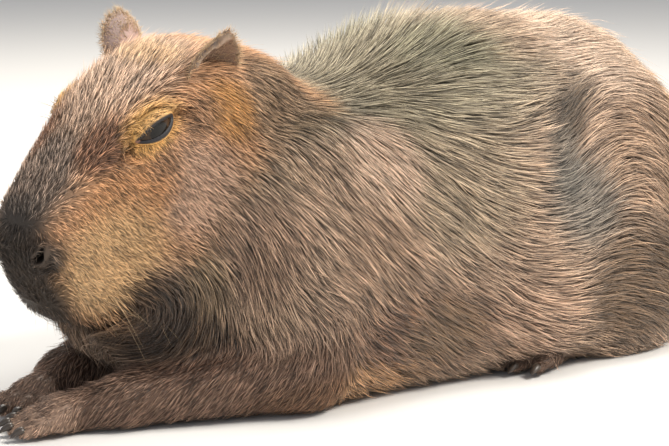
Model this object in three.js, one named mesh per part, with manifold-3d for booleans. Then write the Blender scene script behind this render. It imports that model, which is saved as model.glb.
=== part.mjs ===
// A capybara at rest on its chest and belly, life size, as a still museum model.
// Millimetres, +Z up. The animal looks along -X, its left side is -Y, and the floor is z = 0.
import * as THREE from "three";
import { mergeVertices } from "three/addons/utils/BufferGeometryUtils.js";
import Module from "manifold-3d";

const wasm = await Module();
wasm.setup();

// Driving sizes: the head's place and pose, in millimetres and degrees
const headOrigin = [-94, -4, 279];
const headPitch = 34;
const headTurn = -4;
const headRoll = 4;

// Driving sizes: trunk, head and what grows on them
const trunkFront = -180;
const trunkRear = 466;
const floorSink = 26;
const noseFront = 266;
const headBack = -70;
const coreDepth = 7;
const floorLevel = 0;
const gap = 0.3;

// Locks of the coat
const lockSpacing = 68;
const lockLength = 124;
const lockWidth = 64;
const lockThickness = 9;
const lockRoot = 9;
const lockLift = 9;
const lockFloorGap = 2;
const neckLockScale = 0.8;
const ridgeLift = 1.3;
const lockSwing = 0.22;

// The eyes: their place and opening in the head's own axes, and the lids' thickness
const eyePlace = [102, 48, 75];
const eyeRadius = 19;
const eyeClearance = 0.4;
const eyeOpening = [19, 7.5];
const almondPinch = 0.45;
const lidThickness = 4;

// The ears: thin cups. Place and directions are in the head's own axes, for the left one.
const earBase = [12, 60, 76];
const earRise = [-0.45, 0.36, 0.82];
const earFacing = [0.42, 0.86, -0.06];
const earSize = { width: 27, height: 28, centre: 17, depth: 13, wall: 4, thinning: 0.6, bulge: 3 };

// Nostrils and mouth, in the head's own axes
const nostrilPlace = [250, 31, 46];
const nostrilRadii = [11, 6, 6];
const nostrilSlant = [-0.55, 0.6, 0.55];
const mouthLine = [
  [180, -60],
  [230, -51],
  [320, -45],
  [320, -42],
  [230, -48],
];
const mouthFloor = [
  [100, -52],
  [190, -44],
  [232, -36],
  [250, -16],
  [253, 0],
  [250, 16],
  [232, 36],
  [190, 44],
  [100, 52],
];

// Claws: their size, then sections from root to near the tip: share of length, of girth, and rise
const clawSize = { length: 14, width: 4.8, height: 4, droop: 2.5, rise: 3, sides: 5 };
const clawSections = [
  [0, 0.75, 3],
  [0.35, 1, 3],
  [0.7, 0.72, 1],
];

// How long the sides of the faces are on each part
const torsoFace = 32;
const neckFace = 26;
const headFace = 14.1;
const legFace = 16;
const footFace = 8.8;
const hindFootFace = 12.5;

const radians = THREE.MathUtils.degToRad;
const clamp = THREE.MathUtils.clamp;
const bothSides = [
  { name: "left", side: -1 },
  { name: "right", side: 1 },
];

// A repeatable draw between 0 and 1.
let drawState = 20240611;
function draw() {
  drawState = (drawState * 1664525 + 1013904223) % 4294967296;
  return drawState / 4294967296;
}

const between = (low, high) => low + (high - low) * draw();

// Fields: each is a function of a place that is negative inside the form, in millimetres.

// A smooth curve through [position, value, value...] rows, read at one position.
function profile(rows) {
  const at = rows.map((row) => row[0]);
  const columns = rows[0].slice(1).map((_, c) => rows.map((row) => row[c + 1]));
  const slopes = columns.map((values) =>
    values.map((_, i) => {
      const before = Math.max(i - 1, 0);
      const after = Math.min(i + 1, values.length - 1);
      return (values[after] - values[before]) / (at[after] - at[before]);
    }),
  );
  return (position) => {
    const s = clamp(position, at[0], at[at.length - 1]);
    let i = 0;
    while (i < at.length - 2 && s > at[i + 1]) i++;
    const span = at[i + 1] - at[i];
    const t = (s - at[i]) / span;
    const t2 = t * t;
    const t3 = t2 * t;
    return columns.map(
      (values, c) =>
        (2 * t3 - 3 * t2 + 1) * values[i] +
        (t3 - 2 * t2 + t) * span * slopes[c][i] +
        (3 * t2 - 2 * t3) * values[i + 1] +
        (t3 - t2) * span * slopes[c][i + 1],
    );
  };
}

// The lesser of two values, rounded over the width k where they are alike.
function smoothMin(a, b, k) {
  const h = Math.max(k - Math.abs(a - b), 0) / k;
  return Math.min(a, b) - (h * h * k) / 4;
}

function smoothMax(a, b, k) {
  return -smoothMin(-a, -b, k);
}

// An egg: centre, three radii and a pitch about Y that lifts the +X end.
function egg(centre, radii, pitch = 0) {
  const c = Math.cos(radians(pitch));
  const s = Math.sin(radians(pitch));
  return (x, y, z) => {
    const dx = x - centre[0];
    const dy = y - centre[1];
    const dz = z - centre[2];
    const ex = (dx * c + dz * s) / radii[0];
    const ey = dy / radii[1];
    const ez = (dz * c - dx * s) / radii[2];
    const k0 = Math.hypot(ex, ey, ez);
    const k1 = Math.hypot(ex / radii[0], ey / radii[1], ez / radii[2]);
    return k1 === 0 ? -Math.min(...radii) : (k0 * (k0 - 1)) / k1;
  };
}

// A limb: balls of given radii, [x, y, z, r], joined in a chain.
function limb(balls, rounding = 12) {
  return (x, y, z) => {
    let least = Infinity;
    for (let i = 0; i + 1 < balls.length; i++) {
      const [ax, ay, az, ar] = balls[i];
      const [bx, by, bz, br] = balls[i + 1];
      const ux = bx - ax;
      const uy = by - ay;
      const uz = bz - az;
      const along = ((x - ax) * ux + (y - ay) * uy + (z - az) * uz) / (ux * ux + uy * uy + uz * uz);
      const h = clamp(along, 0, 1);
      const reach = Math.hypot(x - ax - h * ux, y - ay - h * uy, z - az - h * uz);
      const d = reach - (ar + (br - ar) * h);
      least = i ? smoothMin(least, d, rounding) : d;
    }
    return least;
  };
}

const mirrored = (field) => (x, y, z) => field(x, -Math.abs(y), z);

// The trunk: a lofted barrel that is flatter below. Rows: x, height of the back, half width,
// height of the widest line.
const trunkRows = profile([
  [-190, 180, 60, 110],
  [-130, 232, 105, 120],
  [-60, 268, 140, 125],
  [20, 294, 160, 130],
  [110, 328, 174, 135],
  [200, 356, 184, 140],
  [290, 370, 182, 145],
  [370, 356, 164, 150],
  [430, 315, 138, 150],
  [470, 250, 100, 140],
]);

function trunk(x, y, z) {
  const [back, halfWidth, widest] = trunkRows(x);
  const isAbove = z > widest;
  const height = isAbove ? back - widest : widest + floorSink;
  const power = isAbove ? 2.1 : 3.2;
  const side = Math.abs(y) / halfWidth;
  const up = Math.abs(z - widest) / height;
  const reach = Math.pow(Math.pow(side, power) + Math.pow(up, power), 1 / power);
  const wall = (reach - 1) * Math.min(halfWidth, height);
  const ends = Math.max(x - trunkRear, trunkFront - x);
  return smoothMax(wall, ends, 110);
}

const rump = egg([385, 0, 165], [95, 140, 165], -8);
const shoulder = mirrored(egg([-10, -98, 150], [100, 66, 118], 14));
const haunch = mirrored(egg([366, -100, 148], [110, 88, 146], -12));
const thigh = mirrored(egg([356, -112, 62], [114, 84, 88]));
const knee = mirrored(egg([225, -150, 92], [70, 50, 80], 20));
const flankHollow = mirrored(egg([285, -218, 262], [62, 60, 84], -18));
const neck = egg([-50, 0, 200], [120, 98, 96], 6);
const throat = egg([-168, 0, 112], [88, 92, 74]);

// The head has its own axes: u to the nose, v to the left and w up.
const headMatrix = new THREE.Matrix4()
  .makeTranslation(...headOrigin)
  .multiply(new THREE.Matrix4().makeRotationZ(-radians(headTurn)))
  .multiply(new THREE.Matrix4().makeRotationY(-radians(headPitch)))
  .multiply(new THREE.Matrix4().makeRotationX(radians(headRoll)));
const intoHead = headMatrix.clone().invert().elements;

function headCoordinates(x, y, z) {
  const m = intoHead;
  return [
    -(m[0] * x + m[4] * y + m[8] * z + m[12]),
    -(m[1] * x + m[5] * y + m[9] * z + m[13]),
    m[2] * x + m[6] * y + m[10] * z + m[14],
  ];
}

function headPoint(u, v, w) {
  return new THREE.Vector3(-u, -v, w).applyMatrix4(headMatrix);
}

function headDirection(u, v, w) {
  return new THREE.Vector3(-u, -v, w).transformDirection(headMatrix);
}

// Rows of the head: u, top, bottom, half width.
const headRows = profile([
  [-60, 44, -98, 84],
  [-25, 70, -101, 84],
  [5, 90, -102, 83],
  [50, 103, -100, 80],
  [95, 107, -92, 73],
  [140, 102, -84, 65],
  [190, 91, -80, 57],
  [232, 79, -74, 51],
  [268, 63, -60, 45],
]);

// The muzzle's front face leans back below the lips.
const muzzleFront = profile([
  [-90, noseFront - 44],
  [-62, noseFront - 24],
  [-36, noseFront],
  [70, noseFront],
]);

function head(x, y, z) {
  const [u, v, w] = headCoordinates(x, y, z);
  const [top, bottom, halfWidth] = headRows(u);
  const middle = (top + bottom) / 2;
  const halfHeight = (top - bottom) / 2;
  const power = w > middle ? 3.3 : 2.6;
  const side = Math.pow(Math.abs(v) / halfWidth, power);
  const up = Math.pow(Math.abs(w - middle) / halfHeight, power);
  const wall = (Math.pow(side + up, 1 / power) - 1) * Math.min(halfWidth, halfHeight);
  const ends = Math.max(u - muzzleFront(w)[0], headBack - u);
  return smoothMax(wall, ends, 46);
}

// A foot: a pad across the wrist's end and toes that fan out from it. The toes' tips are kept for the claws.
function makeFoot({ pad, padRadius, padWidth, heading, toes, toeRadius, tipHeight }) {
  const along = [Math.cos(radians(heading)), Math.sin(radians(heading))];
  const across = [-along[1], along[0]];
  const at = (forward, sideways, z, r) => [
    pad[0] + along[0] * forward + across[0] * sideways,
    pad[1] + along[1] * forward + across[1] * sideways,
    z,
    r,
  ];
  const padField = limb([at(0, -padWidth, pad[2], padRadius), at(0, padWidth, pad[2], padRadius)]);
  const digits = toes.map(([length, sideways]) => {
    const root = at(4, sideways, pad[2] - 2, toeRadius + 1);
    const knuckle = at(length * 0.55, sideways * 1.18, tipHeight + 5, toeRadius);
    const tip = at(length, sideways * 1.3, tipHeight, toeRadius * 0.8);
    return { field: limb([root, knuckle, tip], 6), knuckle, tip };
  });
  const field = (x, y, z) =>
    digits.reduce((least, digit) => smoothMin(least, digit.field(x, y, z), 7), padField(x, y, z));
  return { field, digits };
}

// Forelegs lie forward along the ground and turn in, the right one behind the left.
const foreLimbs = {
  left: [
    [-30, -112, 120, 54],
    [-72, -112, 44, 44],
    [-232, -52, 26, 25],
    [-284, -28, 18, 19],
  ],
  right: [
    [-30, 112, 120, 54],
    [-84, 114, 44, 42],
    [-220, 68, 25, 24],
    [-254, 56, 17, 18],
  ],
};
const forePaws = {
  left: makeFoot({
    pad: [-290, -25, 17],
    padRadius: 15,
    padWidth: 13,
    heading: 154,
    toes: [
      [34, -20],
      [42, -7],
      [42, 7],
      [34, 20],
    ],
    toeRadius: 9,
    tipHeight: 8,
  }),
  right: makeFoot({
    pad: [-261, 55, 16],
    padRadius: 14,
    padWidth: 12,
    heading: 203,
    toes: [
      [32, -19],
      [40, -6.5],
      [40, 6.5],
      [32, 19],
    ],
    toeRadius: 8.5,
    tipHeight: 8,
  }),
};
const foreField = {};
for (const { name } of bothSides) {
  const arm = limb(foreLimbs[name]);
  const paw = forePaws[name].field;
  foreField[name] = (x, y, z) => smoothMin(arm(x, y, z), paw(x, y, z), 14);
}
const forelegs = (x, y, z) => Math.min(foreField.left(x, y, z), foreField.right(x, y, z));

// Hind feet lie flat under the knees with their three toes forward.
const hindSole = limb([
  [310, -126, 30, 24],
  [240, -142, 16, 18],
]);
const hindPaw = makeFoot({
  pad: [230, -144, 14],
  padRadius: 12,
  padWidth: 10,
  heading: 192,
  toes: [
    [40, -16],
    [48, 0],
    [40, 16],
  ],
  toeRadius: 9,
  tipHeight: 8,
});
const hindFoot = (x, y, z) => smoothMin(hindSole(x, y, z), hindPaw.field(x, y, z), 12);

// The whole body but for the hind feet.
function body(x, y, z) {
  let d = trunk(x, y, z);
  d = smoothMin(d, rump(x, y, z), 70);
  d = smoothMin(d, haunch(x, y, z), 34);
  d = smoothMin(d, thigh(x, y, z), 50);
  d = smoothMax(d, -flankHollow(x, y, z), 40);
  d = smoothMin(d, knee(x, y, z), 34);
  d = smoothMin(d, shoulder(x, y, z), 50);
  d = smoothMin(d, neck(x, y, z), 60);
  d = smoothMin(d, throat(x, y, z), 40);
  d = smoothMin(d, head(x, y, z), 26);
  return smoothMin(d, forelegs(x, y, z), 24);
}

// The core under the long coat lies deeper than the coat, but not on the head and forelegs.
function core(x, y, z) {
  const bare = Math.min(head(x, y, z), forelegs(x, y, z));
  return body(x, y, z) + coreDepth * clamp((bare - 10) / 40, 0, 1);
}

// The unit direction straight away from a form at a place.
function outward(field, p) {
  const e = 0.5;
  const d = field(p.x, p.y, p.z);
  return new THREE.Vector3(
    field(p.x + e, p.y, p.z) - d,
    field(p.x, p.y + e, p.z) - d,
    field(p.x, p.y, p.z + e) - d,
  ).normalize();
}

// A closed mesh of a field within a box, by surface nets: one vertex in each cell that the surface
// crosses and one quad for each crossed edge of the grid.
function surfaceOf(field, low, high, step) {
  const [nx, ny, nz] = low.map((v, i) => Math.ceil((high[i] - v) / step) + 2);
  const index = (i, j, k) => (k * ny + j) * nx + i;
  const place = (i, axis) => low[axis] + (i - 0.5) * step;
  const values = new Float32Array(nx * ny * nz);
  for (let k = 0; k < nz; k++) {
    for (let j = 0; j < ny; j++) {
      for (let i = 0; i < nx; i++) {
        const isEdge = !i || !j || !k || i === nx - 1 || j === ny - 1 || k === nz - 1;
        const d = field(place(i, 0), place(j, 1), place(k, 2));
        values[index(i, j, k)] = isEdge ? Math.max(d, step / 2) : d;
      }
    }
  }
  const corners = [0, 1, 2, 3, 4, 5, 6, 7].map((c) => [c & 1, (c >> 1) & 1, c >> 2]);
  const edges = corners.flatMap((_, a) =>
    [1, 2, 4].filter((bit) => !(a & bit)).map((bit) => [a, a | bit]),
  );
  const vertices = [];
  const cellVertex = new Int32Array(nx * ny * nz).fill(-1);
  for (let k = 0; k < nz - 1; k++) {
    for (let j = 0; j < ny - 1; j++) {
      for (let i = 0; i < nx - 1; i++) {
        const d = corners.map(([a, b, c]) => values[index(i + a, j + b, k + c)]);
        const crossed = edges.filter(([a, b]) => d[a] < 0 !== d[b] < 0);
        if (!crossed.length) continue;
        const mean = [0, 1, 2].map((axis) => {
          const marks = crossed.map(([a, b]) => {
            const t = d[a] / (d[a] - d[b]);
            return corners[a][axis] + t * (corners[b][axis] - corners[a][axis]);
          });
          return marks.reduce((sum, v) => sum + v, 0) / marks.length;
        });
        cellVertex[index(i, j, k)] = vertices.length / 3;
        vertices.push(place(i + mean[0], 0), place(j + mean[1], 1), place(k + mean[2], 2));
      }
    }
  }
  settle(field, vertices, low, high, step);
  const faces = [];
  const spread = (p, q) => Math.hypot(...[0, 1, 2].map((n) => vertices[3 * p + n] - vertices[3 * q + n]));
  const quad = (a, b, c, d, flip) => {
    const three = spread(a, c) > spread(b, d) ? [b, c, d, b, d, a] : [a, b, c, a, c, d];
    faces.push(...(flip ? three.reverse() : three));
  };
  for (let k = 0; k < nz - 1; k++) {
    for (let j = 0; j < ny - 1; j++) {
      for (let i = 0; i < nx - 1; i++) {
        const inside = values[index(i, j, k)] < 0;
        const cell = (a, b, c) => cellVertex[index(i - a, j - b, k - c)];
        if (inside !== values[index(i + 1, j, k)] < 0) {
          quad(cell(0, 1, 1), cell(0, 0, 1), cell(0, 0, 0), cell(0, 1, 0), !inside);
        }
        if (inside !== values[index(i, j + 1, k)] < 0) {
          quad(cell(1, 0, 1), cell(1, 0, 0), cell(0, 0, 0), cell(0, 0, 1), !inside);
        }
        if (inside !== values[index(i, j, k + 1)] < 0) {
          quad(cell(1, 1, 0), cell(0, 1, 0), cell(0, 0, 0), cell(1, 0, 0), !inside);
        }
      }
    }
  }
  const geometry = new THREE.BufferGeometry();
  geometry.setAttribute("position", new THREE.Float32BufferAttribute(vertices, 3));
  geometry.setIndex(faces);
  return geometry;
}

// Moves each vertex straight onto the surface, except those that close the box's sides.
function settle(field, vertices, low, high, step) {
  const e = 0.5;
  for (let n = 0; n < vertices.length; n += 3) {
    const p = vertices.slice(n, n + 3);
    if (p.some((v, axis) => v < low[axis] + step * 0.2 || v > high[axis] - step * 0.2)) continue;
    for (let round = 0; round < 2; round++) {
      const d = field(...p);
      const slope = [0, 1, 2].map((axis) => {
        const q = [...p];
        q[axis] += e;
        return (field(...q) - d) / e;
      });
      const square = slope[0] ** 2 + slope[1] ** 2 + slope[2] ** 2;
      if (square < 0.05) break;
      const move = clamp(d / square, -step * 0.3, step * 0.3);
      for (let axis = 0; axis < 3; axis++) p[axis] -= slope[axis] * move;
    }
    for (let axis = 0; axis < 3; axis++) vertices[n + axis] = p[axis];
  }
}

function meshOf(points, faces) {
  const geometry = new THREE.BufferGeometry();
  const numbers = points.flatMap((p) => [p.x, p.y, p.z]);
  geometry.setAttribute("position", new THREE.Float32BufferAttribute(numbers, 3));
  geometry.setIndex(faces);
  return geometry;
}

// Solids: closed meshes that can be joined and cut.

function solidOf(geometry) {
  const bare = geometry.clone();
  bare.deleteAttribute("normal");
  bare.deleteAttribute("uv");
  const merged = mergeVertices(bare, 1e-3);
  return new wasm.Manifold(
    new wasm.Mesh({
      numProp: 3,
      vertProperties: merged.getAttribute("position").array,
      triVerts: new Uint32Array(merged.index.array),
    }),
  );
}

function geometryOf(solid) {
  const mesh = solid.getMesh();
  const geometry = new THREE.BufferGeometry();
  const positions = new Float32Array(mesh.numVert * 3);
  for (let i = 0; i < mesh.numVert; i++) {
    positions.set(mesh.vertProperties.subarray(i * mesh.numProp, i * mesh.numProp + 3), i * 3);
  }
  geometry.setAttribute("position", new THREE.BufferAttribute(positions, 3));
  geometry.setIndex(new THREE.BufferAttribute(mesh.triVerts, 1));
  return geometry;
}

// The same mesh with each vertex moved out along its faces' mean normal, to cut its neighbours clear of it.
function swollen(geometry, distance) {
  const grown = geometry.clone();
  grown.computeVertexNormals();
  const position = grown.getAttribute("position");
  const normal = grown.getAttribute("normal");
  for (let i = 0; i < position.count; i++) {
    position.setXYZ(
      i,
      position.getX(i) + distance * normal.getX(i),
      position.getY(i) + distance * normal.getY(i),
      position.getZ(i) + distance * normal.getZ(i),
    );
  }
  return grown;
}

function largest(solid) {
  return solid.decompose().sort((a, b) => b.volume() - a.volume())[0];
}

function block(low, high) {
  const size = high.map((v, i) => v - low[i]);
  const box = new THREE.BoxGeometry(...size);
  box.translate(...low.map((v, i) => v + size[i] / 2));
  return solidOf(box);
}

// An outline pushed along its third axis, from depth -reach to reach, and placed by a matrix.
function prism(points, reach, matrix) {
  const outline = new THREE.Shape(points.map(([a, b]) => new THREE.Vector2(a, b)));
  const form = new THREE.ExtrudeGeometry(outline, { depth: 2 * reach, bevelEnabled: false });
  form.translate(0, 0, -reach);
  form.applyMatrix4(matrix);
  return solidOf(form);
}

// The same outline, each side moved out by a distance. The points turn anticlockwise.
function widened(points, distance) {
  const count = points.length;
  const normal = (i) => {
    const a = points[i];
    const b = points[(i + 1) % count];
    const length = Math.hypot(b[0] - a[0], b[1] - a[1]);
    return [(b[1] - a[1]) / length, (a[0] - b[0]) / length];
  };
  return points.map((p, i) => {
    const before = normal((i + count - 1) % count);
    const after = normal(i);
    const k = distance / (1 + before[0] * after[0] + before[1] * after[1]);
    return [p[0] + k * (before[0] + after[0]), p[1] + k * (before[1] + after[1])];
  });
}

const sideView = new THREE.Matrix4().makeRotationX(Math.PI / 2);
const aboveFloor = block([-700, -500, floorLevel], [800, 500, 700]);

// Where the parts meet. Each outline is drawn round one part and cuts its neighbour too, a gap wider.

// The head, in its own u and w, from behind the ears down and forward under the jaw.
const headOutline = [
  [-22, 40],
  [24, -34],
  [84, -84],
  [150, -94],
  [215, -88],
  [420, -84],
  [420, 260],
  [-22, 260],
];
const headPlane = headMatrix
  .clone()
  .multiply(new THREE.Matrix4().makeBasis(
    new THREE.Vector3(-1, 0, 0),
    new THREE.Vector3(0, 0, 1),
    new THREE.Vector3(0, 1, 0),
  ));

// The same from the front, in v and w: the ruff of the neck wraps the jaw from both sides.
const jawOutline = [
  [-66, -130],
  [66, -130],
  [84, -40],
  [140, 36],
  [140, 280],
  [-140, 280],
  [-140, 36],
  [-84, -40],
];
const jawPlane = headMatrix
  .clone()
  .multiply(new THREE.Matrix4().makeBasis(
    new THREE.Vector3(0, -1, 0),
    new THREE.Vector3(0, 0, 1),
    new THREE.Vector3(-1, 0, 0),
  ));

function headRegion(clearance) {
  const fromSide = prism(widened(headOutline, clearance), 260, headPlane);
  return fromSide.intersect(prism(widened(jawOutline, clearance), 500, jawPlane));
}

const headRegionWide = headRegion(gap);

// All in front of the shoulders, in x and z.
const foreOutline = [
  [-500, -40],
  [-156, -40],
  [-36, 190],
  [22, 300],
  [74, 400],
  [-500, 400],
];
const foreRegion = prism(foreOutline, 400, sideView);
const foreRegionWide = prism(widened(foreOutline, gap), 400, sideView);

// Each hind leg, an oval in x and z, no deeper than the flesh of the thigh.
const hindCentre = [350, 118];
const hindRadii = [136, 158];
const hindDepth = 84;
const hindSides = 22;
const hindOutline = Array.from({ length: hindSides }, (_, i) => {
  const turn = (i / hindSides) * 2 * Math.PI;
  const forward = hindRadii[0] * Math.cos(turn);
  const upward = hindRadii[1] * Math.sin(turn);
  return [hindCentre[0] + forward, hindCentre[1] + upward];
});

function hindRegion(side, clearance) {
  const oval = prism(widened(hindOutline, clearance), 400, sideView);
  const edge = hindDepth - clearance;
  const [nearest, furthest] = side < 0 ? [-400, -edge] : [edge, 400];
  return oval.intersect(block([-100, nearest, -100], [700, furthest, 500]));
}

// Each forearm, in plan, from the elbow to past the toes, under a roof that slopes down to the wrist:
// its outline is along the limb from the elbow, and up.
const forearmHalfWidth = 50;
const forearmOutline = [
  [30, -60],
  [330, -60],
  [330, 48],
  [200, 52],
  [150, 56],
  [90, 68],
  [30, 84],
];
const wristSetback = 16;

function forearmRegion(name, side, clearance) {
  const [, elbow, wrist] = foreLimbs[name];
  const along = new THREE.Vector3(wrist[0] - elbow[0], wrist[1] - elbow[1], 0).normalize();
  const across = new THREE.Vector3(0, 0, 1);
  const sideways = new THREE.Vector3().crossVectors(across, along);
  const place = new THREE.Matrix4()
    .makeBasis(along, across, sideways.negate())
    .setPosition(elbow[0], elbow[1], 0);
  return prism(widened(forearmOutline, clearance), forearmHalfWidth, place);
}

// Behind this line across its limb a part is foreleg, and in front of it forefoot.
function wristCut(name, clearance) {
  const [, , wrist, palm] = foreLimbs[name];
  const along = new THREE.Vector3(palm[0] - wrist[0], palm[1] - wrist[1], 0).normalize();
  const up = new THREE.Vector3(0, 0, 1);
  const place = new THREE.Matrix4()
    .makeBasis(along, up, new THREE.Vector3().crossVectors(along, up))
    .setPosition(wrist[0], wrist[1], 0);
  const start = wristSetback + clearance;
  const outline = [
    [start, -60],
    [200, -60],
    [200, 120],
    [start, 120],
  ];
  return prism(outline, 120, place);
}

// The coat's locks

// Which way the hair lies at a place: back and down the sides, steeper on the neck and shoulders,
// forward under the throat and down over the rump.
const lieRows = profile([
  [-260, -0.5, -0.9],
  [-150, 0.1, -1],
  [-60, 0.6, -0.9],
  [60, 0.8, -0.75],
  [180, 1, -0.45],
  [320, 1, -0.16],
  [430, 0.7, -0.5],
  [500, 0.3, -1],
]);

function lieOfHair(p, up) {
  const [back, down] = lieRows(p.x);
  const spread = clamp(Math.abs(p.y) / 110, 0, 1) * clamp((p.z - 30) / 90, 0.25, 1);
  const lie = new THREE.Vector3(Math.max(back, 0.3 - spread), 0, down * spread);
  return lie.addScaledVector(up, -lie.dot(up)).normalize();
}

// One lock: a flat, tapered, bending body of four-sided sections that leaves the core, follows the lie
// of the hair over it and ends in a tip.
function lockSolid(root, length, width, lift, swing) {
  const stations = [
    { s: 0, height: -lockRoot, half: 0.3, thick: 0.7 },
    { s: 0.22, height: 0.05, half: 0.46, thick: 1 },
    { s: 0.5, height: 0.62, half: 0.5, thick: 0.85 },
    { s: 0.78, height: 0.9, half: 0.34, thick: 0.6 },
  ];
  const rings = [];
  const p = root.clone();
  let walked = 0;
  const ring = ({ s, height, half, thick }) => {
    const steps = 3;
    const stride = (s * length - walked) / steps;
    for (let n = 0; n < steps && stride > 0; n++) {
      const up = outward(core, p);
      const lie = lieOfHair(p, up).applyAxisAngle(up, swing * s);
      p.addScaledVector(lie, stride);
      p.addScaledVector(outward(core, p), -core(p.x, p.y, p.z));
    }
    walked = s * length;
    const up = outward(core, p);
    const lie = lieOfHair(p, up).applyAxisAngle(up, swing * s);
    const side = new THREE.Vector3().crossVectors(lie, up);
    const centre = p.clone().addScaledVector(up, height < 0 ? height : height * lift);
    const halfThick = (lockThickness * thick) / 2;
    return [
      centre.clone().addScaledVector(side, -width * half),
      centre.clone().addScaledVector(up, halfThick),
      centre.clone().addScaledVector(side, width * half),
      centre.clone().addScaledVector(up, -halfThick),
    ];
  };
  stations.forEach((station) => rings.push(ring(station)));
  const [tip] = ring({ s: 1, height: 1, half: 0, thick: 0 });
  const points = [...rings.flat(), tip];
  for (const q of points) q.z = Math.max(q.z, floorLevel + lockFloorGap);
  const faces = [0, 2, 1, 0, 3, 2];
  for (let r = 0; r + 1 < rings.length; r++) {
    for (let n = 0; n < 4; n++) {
      const a = r * 4 + n;
      const b = r * 4 + ((n + 1) % 4);
      faces.push(a, b, a + 4, b, b + 4, a + 4);
    }
  }
  const last = (rings.length - 1) * 4;
  for (let n = 0; n < 4; n++) faces.push(last + n, last + ((n + 1) % 4), points.length - 1);
  return solidOf(meshOf(points, faces));
}

// Where a ray from inside the core comes out of it.
function castOut(origin, direction) {
  let near = 0;
  let far = 420;
  for (let n = 0; n < 22; n++) {
    const middle = (near + far) / 2;
    const q = origin.clone().addScaledVector(direction, middle);
    if (core(q.x, q.y, q.z) < 0) {
      near = middle;
    } else {
      far = middle;
    }
  }
  return origin.clone().addScaledVector(direction, near);
}

// Roots of locks: rows of rays round the trunk's axis, a spacing apart, then two rings over the rump
// whose rays tilt back.
const lockAxis = 150;
const lockRows = { first: -190, last: 420, widestTurn: 112, stagger: 11, jitterTurn: 4, jitterX: 9 };
const rumpRings = [
  { tilt: 26, shift: 6 },
  { tilt: 52, shift: 0 },
];
const rumpRingX = 385;

function lockRow(x, tilt, shift) {
  const c = Math.cos(radians(tilt));
  const s = Math.sin(radians(tilt));
  const { widestTurn, jitterTurn, jitterX } = lockRows;
  const roots = [];
  let turn = shift - widestTurn;
  while (turn < widestTurn) {
    const angle = radians(turn + between(-jitterTurn, jitterTurn));
    const direction = new THREE.Vector3(s, Math.sin(angle) * c, Math.cos(angle) * c);
    const root = castOut(new THREE.Vector3(x + between(-jitterX, jitterX), 0, lockAxis), direction);
    const reach = Math.max(Math.hypot(root.y, root.z - lockAxis), 60);
    roots.push(root);
    turn += THREE.MathUtils.radToDeg((lockSpacing * 1.12) / reach);
  }
  return roots;
}

function lockRoots() {
  const roots = [];
  let shift = 0;
  for (let x = lockRows.first; x < lockRows.last; x += lockSpacing) {
    roots.push(...lockRow(x, 0, shift));
    shift = lockRows.stagger - shift;
  }
  for (const ring of rumpRings) roots.push(...lockRow(rumpRingX, ring.tilt, ring.shift));
  return roots;
}

// True where a point lies within an outline.
function isWithin(outline, a, b) {
  let isIn = false;
  outline.forEach(([a1, b1], i) => {
    const [a2, b2] = outline[(i + 1) % outline.length];
    if (b1 > b !== b2 > b && a < a1 + ((b - b1) * (a2 - a1)) / (b2 - b1)) isIn = !isIn;
  });
  return isIn;
}

// The node that a lock's root belongs to, or nothing on the head and forelegs, which bear none.
const headMargin = widened(headOutline, 9);
const forelegMargin = 14;
const lowestRoot = 12;

function lockOwner(root) {
  const [u, , w] = headCoordinates(root.x, root.y, root.z);
  if (isWithin(headMargin, u, w)) return null;
  if (forelegs(root.x, root.y, root.z) < forelegMargin || root.z < lowestRoot) return null;
  if (isWithin(foreOutline, root.x, root.z)) return "neck";
  const isOuter = Math.abs(root.y) > hindDepth;
  if (isOuter && isWithin(hindOutline, root.x, root.z)) return root.y < 0 ? "left" : "right";
  return "torso";
}

// Materials

const coat = new THREE.MeshStandardMaterial({ color: 0x8f7154, roughness: 0.85, metalness: 0 });
const neckCoat = new THREE.MeshStandardMaterial({ color: 0x867257, roughness: 0.85, metalness: 0 });
const faceFur = new THREE.MeshStandardMaterial({ color: 0xa67b4a, roughness: 0.8, metalness: 0 });
const legFur = new THREE.MeshStandardMaterial({ color: 0x5f4636, roughness: 0.8, metalness: 0 });
const earSkin = new THREE.MeshStandardMaterial({ color: 0x6e5c52, roughness: 0.7, metalness: 0 });
const eyeGloss = new THREE.MeshStandardMaterial({ color: 0x16100c, roughness: 0.08, metalness: 0 });
const clawHorn = new THREE.MeshStandardMaterial({ color: 0x2b231e, roughness: 0.5, metalness: 0 });

const animal = new THREE.Group();

function addNode(name, solid, material) {
  const mesh = new THREE.Mesh(geometryOf(largest(solid)), material);
  mesh.name = name;
  animal.add(mesh);
}

// Eyes: balls set in the head, with a lid round each that opens in an almond.
function ball(centre, radius, around, down) {
  const form = new THREE.SphereGeometry(radius, around, down);
  form.applyMatrix4(new THREE.Matrix4().makeTranslation(centre.x, centre.y, centre.z));
  return solidOf(form);
}

function eyeParts(side) {
  const centre = headPoint(eyePlace[0], -side * eyePlace[1], eyePlace[2]);
  const steps = 12;
  const almond = Array.from({ length: steps }, (_, i) => {
    const turn = (i / steps) * 2 * Math.PI;
    const across = Math.cos(turn);
    return [eyeOpening[0] * across, eyeOpening[1] * Math.sin(turn) * (1 - almondPinch * across * across)];
  });
  const along = headDirection(1, 0, 0.05);
  const up = headDirection(0, 0.12, 1);
  const out = new THREE.Vector3().crossVectors(along, up).normalize();
  const away = headDirection(0, -side, 0);
  if (out.dot(away) < 0) out.negate();
  const place = new THREE.Matrix4()
    .makeBasis(along, new THREE.Vector3().crossVectors(out, along), out)
    .setPosition(centre.clone().addScaledVector(out, eyeRadius * 1.5));
  return {
    ball: ball(centre, eyeRadius, 14, 9),
    socket: ball(centre, eyeRadius + eyeClearance, 14, 9),
    lids: ball(centre, eyeRadius + lidThickness, 16, 10),
    opening: prism(almond, eyeRadius, place),
  };
}

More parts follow.
